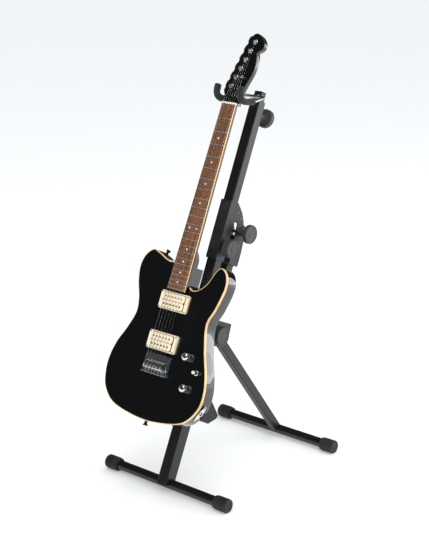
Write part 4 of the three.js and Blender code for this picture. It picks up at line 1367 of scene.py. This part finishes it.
@dataclass
class Pickup:
    """A double-coil pickup in its surround."""

    label: str
    z: float
    ring_height: float
    top: float

    def build(self) -> None:
        """Makes the surround, its screws, both coils, the tape between them and the pole pieces."""
        ring = f"pickup_ring_{self.label}"
        node = f"{self.label}_pickup"
        place = on_top(0, self.z)
        make(ring + "_frame", self.surround(place), Finish.CREAM, ring)
        corners = [(x, y) for x in (-40.6, 40.6) for y in (-18.8, 18.8)]
        Body.screws(ring + "_screws", place, corners, self.ring_height, 1.9, Finish.SCREW, ring)
        coils = Shell()
        for y in (-9.6, 9.6):
            outline = round_rect(-34.8, 34.8, y - 9.1, y + 9.1, 5.5)
            coils.slab(place, outline, self.top - 2.4, self.top, 0.7)
            coils.slab(place, inset(outline, 0.2), 1.2, 3.4, 0.4)
        make(node + "_coils", coils, Finish.CREAM, node)
        tape = Shell()
        for y in (-9.6, 9.6):
            tape.slab(place, round_rect(-33.6, 33.6, y - 8.2, y + 8.2, 5), 1.0, self.top - 1.0, 0.3)
        tape.slab(place, round_rect(-34, 34, -18.5, 18.5, 3), 0.3, 2.2, 0.4)
        make(node + "_tape", tape, Finish.TAPE, node, False)
        self.poles(place, node)

    def surround(self, place: Frame) -> Shell:
        """The surround: an outer wall that leans in, a level rim with eased edges and an inner wall.

        Args:
            place: the frame on the body's top.

        Returns:
            The surface.
        """
        outer = round_rect(-44.5, 44.5, -22.7, 22.7, 5)
        inner = round_rect(-35.4, 35.4, -19.4, 19.4, 2)
        h = self.ring_height
        rows = [(outer, 0.3), (inset(outer, 0.5), h - 0.9), (inset(outer, 0.8), h - 0.3), (inset(outer, 1.4), h),
                (inset(inner, -0.6), h), (inset(inner, -0.1), h - 0.5), (inner, 0.3)]
        rings = [np.column_stack([ring, np.full(len(ring), level)]) for ring, level in rows]
        return Shell().loft(place.at(np.stack(rings)), True)

    def poles(self, place: Frame, node: str) -> None:
        """Makes a row of flush slugs in one coil and a row of slotted screws in the other."""
        t = self.top
        shell = Shell()
        for x in STRING_STEPS * 9.9:
            slug = [(0, t + 0.15), (2.0, t + 0.15), (2.3, t - 0.05), (2.3, t - 1), (0, t - 1)]
            shell.turn(place.within((x, 9.6, 0), Facing.UP.value), slug, 20)
            head = [(0, t + 0.1), (1.2, t + 0.1), (1.5, t + 0.7), (2.1, t + 0.6), (2.5, t + 0.2), (2.5, t - 1),
                    (0, t - 1)]
            shell.turn(place.within((x, -9.6, 0), Facing.UP.value), head, 20)
        make(node + "_poles", shell, Finish.SCREW, node, False)


@dataclass
class Bridge:
    """A fixed bridge: a plate with a back lip, and six saddles with their screws."""

    spread: float = 10.4
    half: float = 40.0

    def build(self) -> None:
        """Makes the plate, the saddles and the screws."""
        place = on_top()
        plate = Shell().slab(place, round_rect(-self.half, self.half, -30, 18, 3), 0.3, 2.6, 0.6)
        plate.block(place, (-self.half, self.half, -30, -28, 1.5, 9), 0.5, 0.9)
        make("bridge_base", plate, Finish.CHROME, "bridge_plate")
        Body.screws("bridge_base_screws", place, [(-35, -23), (35, -23), (-35, 12), (35, 12), (0, 12)], 2.6, 3.2,
                    Finish.SCREW, "bridge_plate")
        make("saddles", self.saddles(place), Finish.CHROME, "bridge_saddles", crease=40)
        self.saddle_screws(place)

    def saddles(self, place: Frame) -> Shell:
        """Each saddle is an L carried across: a sole, a rounded crest under the string and side cheeks.

        Args:
            place: the frame on the body's top.

        Returns:
            The surface of all the saddles.
        """
        shell = Shell()
        side = np.array([(-19, 4.2), (-19, 12.6), (-18.2, 13.6), (-16.8, 14.1), (-3, 14.2), (-0.6, 13.8),
                         (1.2, 12.6), (2, 10.8), (2, 4.2), (0, 3.4), (-17.5, 3.4)])
        for x in STRING_STEPS * self.spread:
            across = np.array([-4.7, -4.3, 4.3, 4.7])
            ease = np.array([0.06, 0.0, 0.0, 0.06])
            centre = side.mean(0)
            rings = [np.column_stack([np.full(len(side), x + a), side + (centre - side) * e])
                     for a, e in zip(across, ease)]
            shell.loft(place.at(np.stack(rings)))
        return shell

    def saddle_screws(self, place: Frame) -> None:
        """Makes two height screws in each saddle and a length screw with its spring from the back lip."""
        spots = [(x + a, -14.5) for x in STRING_STEPS * self.spread for a in (-2.7, 2.7)]
        Body.screws("saddle_height_screws", place, spots, 14.1, 1.3, Finish.SCREW, "bridge_saddles")
        shell = Shell()
        for x in STRING_STEPS * self.spread:
            lip = place.within((x, -30, 6.2), ((1, 0, 0), (0, 0, -1), (0, 1, 0)))
            rows = [(0, -1.6), (1.2, -1.6), (1.9, -1.1), (1.9, 0.2), (1.1, 0.4), (1.1, 11.2), (0, 11.2)]
            shell.turn(lip, rows, 16)
            t = np.linspace(0, 1, 60)
            round_and_round = t * 10 * math.pi
            coil = np.column_stack([1.6 * np.cos(round_and_round), 1.6 * np.sin(round_and_round), 2.2 + 8.6 * t])
            shell.sweep(lip, coil, 0.35, 6, (0, 0, 1))
        make("saddle_length_screws", shell, Finish.ZINC, "bridge_saddles", False)


@dataclass
class Controls:
    """The two knurled knobs and the three-way switch."""

    volume: tuple[float, float] = (86, 32)
    tone: tuple[float, float] = (104, -41)
    toggle: tuple[float, float] = (123, 2)

    def build(self) -> None:
        """Makes the knobs, the switch nut, its lever and the lever's tip."""
        for name, spot in (("volume", self.volume), ("tone", self.tone)):
            make(name + "_dome", self.dome(on_top(*spot)), Finish.CHROME, name + "_knob", crease=50)
        place = on_top(*self.toggle)
        nut = [(4, 0.3), (6.8, 0.3), (6.8, 2.0), (6.3, 2.6), (5.4, 3.4), (4.3, 3.4), (4, 3)]
        ring = Shell().turn(place, nut, 72, 24, 0.35, True)
        make("switch_nut", ring, Finish.CHROME, "toggle_nut", crease=50)
        turn = np.linspace(-math.pi / 2, math.pi / 2, 14)
        tip = np.column_stack([3.9 * np.cos(turn) ** 0.8, 13.2 + 4.0 * np.sin(turn)])
        tip[0], tip[-1] = (0, 9.2), (0, 17.2)
        make("switch_tip", Shell().turn(place, tip, 32), Finish.CREAM, "toggle_lever")
        rod = [(0, 0.9), (1.6, 0.9), (1.6, 9.8), (0, 9.8)]
        make("switch_rod", Shell().turn(place, rod, 20), Finish.CHROME, "toggle_lever", False)

    @staticmethod
    def dome(place: Frame) -> Shell:
        """Turns a control knob: a collar, a knurled barrel and a low domed top with a small set screw.

        Args:
            place: the knob's frame.

        Returns:
            The surface.
        """
        turn = np.linspace(0, math.pi / 2, 9)
        crown = np.column_stack([9.2 * np.cos(turn), 13.2 + 5.0 * np.sin(turn)])
        barrel = [(0, 1), (9, 1), (9.4, 1.4), (9.4, 2.4), (9.1, 2.8), (9.5, 3.2), (9.5, 11.6), (9.1, 12.1),
                  (9.4, 12.6), (9.4, 13.0)]
        rows = np.concatenate([barrel, crown[:-1], [(0, 18.2)]])
        depth = np.where((rows[:, 0] > 9.45) & (rows[:, 1] > 3), 0.5, 0.0)
        shell = Shell().turn(place, rows, 168, 42, depth)
        mark = [(0, 0), (1.3, 0), (1.3, 0.7), (0, 0.4)]
        return shell.turn(place.within((9.0, 0, 7), Facing.RIGHT.value), mark, 12)


@dataclass
class Head:
    """The tuning machines, the string tree and the strings."""

    first: tuple[float, float] = (-14, 695)
    step: tuple[float, float] = (7.12, 23)
    reach: float = 20.0
    reach_step: float = 0.8
    gauges: tuple[float, ...] = (0.62, 0.54, 0.46, 0.4, 0.34, 0.3)

    def post(self, index: float) -> tuple[float, float]:
        """Where a string post stands, across and up the neck."""
        return self.first[0] + index * self.step[0], self.first[1] + index * self.step[1]

    def row(self, index: float) -> Frame:
        """A frame at a post on the middle of the head: x across the row, y backwards and z along the row."""
        turn = math.atan2(*self.step)
        c, s = math.cos(turn), math.sin(turn)
        x, z = self.post(index)
        return GUITAR_FRAME.within((x, 0, z), ((c, 0, -s), (0, 1, 0), (s, 0, c)))

    def build(self) -> None:
        """Makes the posts, washers, gear boxes, shafts, keys, string tree and strings."""
        shell = Shell()
        for index in range(6):
            self.machine(shell, index)
            make(f"key_{index + 1}", self.key(index), Finish.CHROME, f"tuner_key_{index + 1}", crease=50)
            wire = Finish.WOUND if index < 3 else Finish.STRING
            make(f"wire_{index + 1}", self.string(index), wire, f"string_{index + 1}", crease=60)
        length = math.hypot(*self.step) * 5 + 18
        plate = self.row(2.5).within((0, 11.3, 0), Facing.BACK.value)
        shell.slab(plate, round_rect(-8, 8, -length / 2, length / 2, 2), 0, 2.6, 0.5)
        make("tuners", shell, Finish.CHROME, "tuner_set", crease=40)
        tree = on_top(17, 719)
        disc = [(0, 3.3), (2.2, 3.3), (2.0, 11.4), (0, 11.4)]
        wings = Shell().turn(tree, disc, 24).slab(tree, round_rect(-8.5, 5, -3, 3, 2.6), 11.9, 13.2, 0.5)
        wings.turn(tree, [(0, 11), (3, 11), (3, 13.4), (2.2, 14.1), (0, 14.2)], 24)
        make("tree", wings, Finish.CHROME, "string_tree")

    def machine(self, shell: Shell, index: int) -> None:
        """Adds one tuning machine: a waisted post, a stepped washer, a gear box and the key's shaft."""
        up = on_top(*self.post(index))
        post = [(0, 10.4), (1.0, 10.4), (1.2, 11), (2.6, 11), (3, 10.5), (3, 9.3), (2.3, 8.4), (2.3, 6.2), (3, 5.4),
                (3, -13), (0, -13)]
        shell.turn(up, post, 28)
        shell.turn(up, [(3.2, 3.2), (6.2, 3.2), (6.2, 3.9), (5.4, 4.4), (4.9, 4.5), (4.7, 5.2), (3.2, 5.3)], 36,
                   hollow=True)
        place = self.row(index).within((0, 13, 0), Facing.BACK.value)
        shell.slab(place, round_rect(-9.5, 7, -7, 7, 3), 0, 7, 1.4)
        reach = self.reach + index * self.reach_step
        shaft = self.row(index).facing((0, 16.5, 0), Facing.LEFT)
        shell.turn(shaft, [(0, 8), (2.6, 8), (2.6, 12), (1.8, 12.6), (1.8, reach), (0, reach)], 24)

    def key(self, index: int) -> Shell:
        """Skins a key: rounded sections across it that widen from the shaft and round over at the end.

        Args:
            index: which machine, from 0.

        Returns:
            The surface.
        """
        start = self.reach + index * self.reach_step + 0.5
        place = self.row(index).facing((0, 16.5, 0), Facing.LEFT)
        away = np.concatenate([[0, 0.4], np.linspace(1, 13, 16), [13.6, 13.9, 14.0]])
        over = np.clip((away - 9) / 5, 0, 1)
        wide = (3 + 6.6 * smooth_step(away, 0.5, 7)) * np.sqrt(1.0001 - over**2.6)
        thick = (2.2 + 0.6 * smooth_step(away, 1, 6)) * np.sqrt(1.0001 - over**3.4)
        turn = np.linspace(0, 2 * math.pi, 36, endpoint=False)
        bend = np.sign(np.cos(turn)) * np.abs(np.cos(turn)) ** 0.75
        rise = np.sign(np.sin(turn)) * np.abs(np.sin(turn)) ** 0.75
        rows = np.stack([thick[:, None] * bend[None], wide[:, None] * rise[None],
                         np.broadcast_to((start + away)[:, None], (len(away), 36))], -1)
        return Shell().loft(place.at(rows))

    def string(self, index: int) -> Shell:
        """Carries a string from the bridge over saddle and nut, and winds it three times down its post.

        Args:
            index: which string, from 0 on the bass side.

        Returns:
            The surface.
        """
        saddle, nut = STRING_STEPS[index] * 10.4, STRING_STEPS[index] * 7.1
        x, z = self.post(index)
        gauge = self.gauges[index]
        radius = 2.3 + gauge
        turn = np.linspace(-0.2, 6 * math.pi, 80)
        drop = 7.9 - 1.5 * turn / (6 * math.pi)
        winding = np.column_stack([x + radius * np.cos(turn), -drop, z + radius * np.sin(turn)])
        straight = np.array([
            (saddle, -4, -24), (saddle, -9, -22.5), (saddle, -14.6, -19.4), (saddle, -15.0, -17),
            (saddle, -15.2, 0), (nut, -13.1, 648), (nut, -13.1, 652.6),
        ])
        path = np.vstack([evenly(straight[:4], 14), evenly(straight[4:6], 90), straight[6:], winding])
        return Shell().sweep(GUITAR_FRAME, path, gauge, 10, (0.1, 1, 0))


# ---------- studio ----------


@dataclass
class Studio:
    """A pale floor, soft lights and the camera."""

    camera_at: Triple = (2.1203, -2.3134, 1.5422)
    camera_back: Triple = (0.6186, -0.7286, 0.2940)
    lens: float = 92.71

    def build(self) -> None:
        """Makes the floor, the surrounding light, the soft boxes and the camera."""
        bpy.context.scene.view_settings.view_transform = "Standard"
        self.floor()
        self.surroundings()
        self.soft_box("key", (1.3, -2.0, 4.0), (0, 0, 0.5), (2.2, 2.2), 50)
        self.soft_box("right", (2.6, 2.8, 1.0), (0, 0, 0.4), (3.0, 1.9), 62)
        self.soft_box("top", (0.2, 0.4, 3.8), (0, 0, 0.5), (2.6, 2.6), 22)
        self.camera()

    def floor(self) -> None:
        """Makes a wide level floor with a barely uneven pale finish."""
        half = 60.0
        corners = np.array([(-half, -half, 0), (half, -half, 0), (half, half, 0), (-half, half, 0)])
        mesh = bpy.data.meshes.new("floor")
        mesh.from_pydata(corners - (0, 0, 0.0002), [], [[0, 1, 2, 3]])
        floor = linked("floor", mesh)
        g = Graph("pale_floor")
        tone = g.noise(g.place(), 3, 3)
        mesh.materials.append(g.finish({
            "Base Color": g.mix(tone, rgb(0.77, 0.778, 0.785), rgb(0.785, 0.792, 0.798)),
            "Roughness": 0.55,
            "Specular IOR Level": 0.0,
            "Emission Color": rgb(1, 1, 1),
            "Emission Strength": 0.155,
        }))

    @staticmethod
    def surroundings() -> None:
        """Surrounds the scene with even light that gloss sees as a dim room."""
        world = bpy.data.worlds.new("room")
        bpy.context.scene.world = world
        world.use_nodes = True
        tree = world.node_tree
        tree.nodes.clear()
        rays = tree.nodes.new("ShaderNodeLightPath")
        even, dim = tree.nodes.new("ShaderNodeBackground"), tree.nodes.new("ShaderNodeBackground")
        even.inputs["Color"].default_value, even.inputs["Strength"].default_value = rgb(0.97, 0.985, 1), 0.96
        dim.inputs["Color"].default_value, dim.inputs["Strength"].default_value = rgb(0.9, 0.95, 1), 0.06
        blend, output = tree.nodes.new("ShaderNodeMixShader"), tree.nodes.new("ShaderNodeOutputWorld")
        tree.links.new(rays.outputs["Is Glossy Ray"], blend.inputs["Fac"])
        tree.links.new(even.outputs[0], blend.inputs[1])
        tree.links.new(dim.outputs[0], blend.inputs[2])
        tree.links.new(blend.outputs[0], output.inputs["Surface"])

    @staticmethod
    def soft_box(name: str, at: Triple, towards: Triple, size: tuple[float, float], power: float) -> None:
        """Hangs one rectangular soft light.

        Args:
            name: the light's name.
            at: where it hangs.
            towards: the point it faces.
            size: its width and height.
            power: watts.
        """
        light = bpy.data.lights.new(name, "AREA")
        light.shape, (light.size, light.size_y) = "RECTANGLE", size
        light.energy = power
        obj = bpy.data.objects.new(name, light)
        bpy.context.scene.collection.objects.link(obj)
        obj.location = at
        obj.rotation_mode = "QUATERNION"
        obj.rotation_quaternion = (Vector(towards) - Vector(at)).to_track_quat("-Z", "Y")

    def camera(self) -> None:
        """Sets up the camera on the front right, a little above the object."""
        data = bpy.data.cameras.new("camera")
        data.lens, data.sensor_width = self.lens, 36.0
        data.clip_end = 200.0
        obj = bpy.data.objects.new("camera", data)
        bpy.context.scene.collection.objects.link(obj)
        x, y, z = self.camera_at
        obj.location = (x, y + FRONT_LINE * MM, z)
        obj.rotation_mode = "QUATERNION"
        obj.rotation_quaternion = (-Vector(self.camera_back)).to_track_quat("-Z", "Y")
        bpy.context.scene.camera = obj


def main() -> None:
    """Builds the stand, the guitar and the studio, in that order."""
    logging.basicConfig(level=logging.INFO, format="%(message)s")
    Foot("front", 403, 0).build()
    Foot("rear", 393, 443.5).build()
    Legs().build()
    Post().build()
    NeckRest().build()
    Body().build()
    Neck().build()
    Pickup("neck", 150.6, 6, 9).build()
    Pickup("bridge", 50.2, 8, 11.5).build()
    Bridge().build()
    Controls().build()
    Head().build()
    Studio().build()


if __name__ == "__main__":
    main()
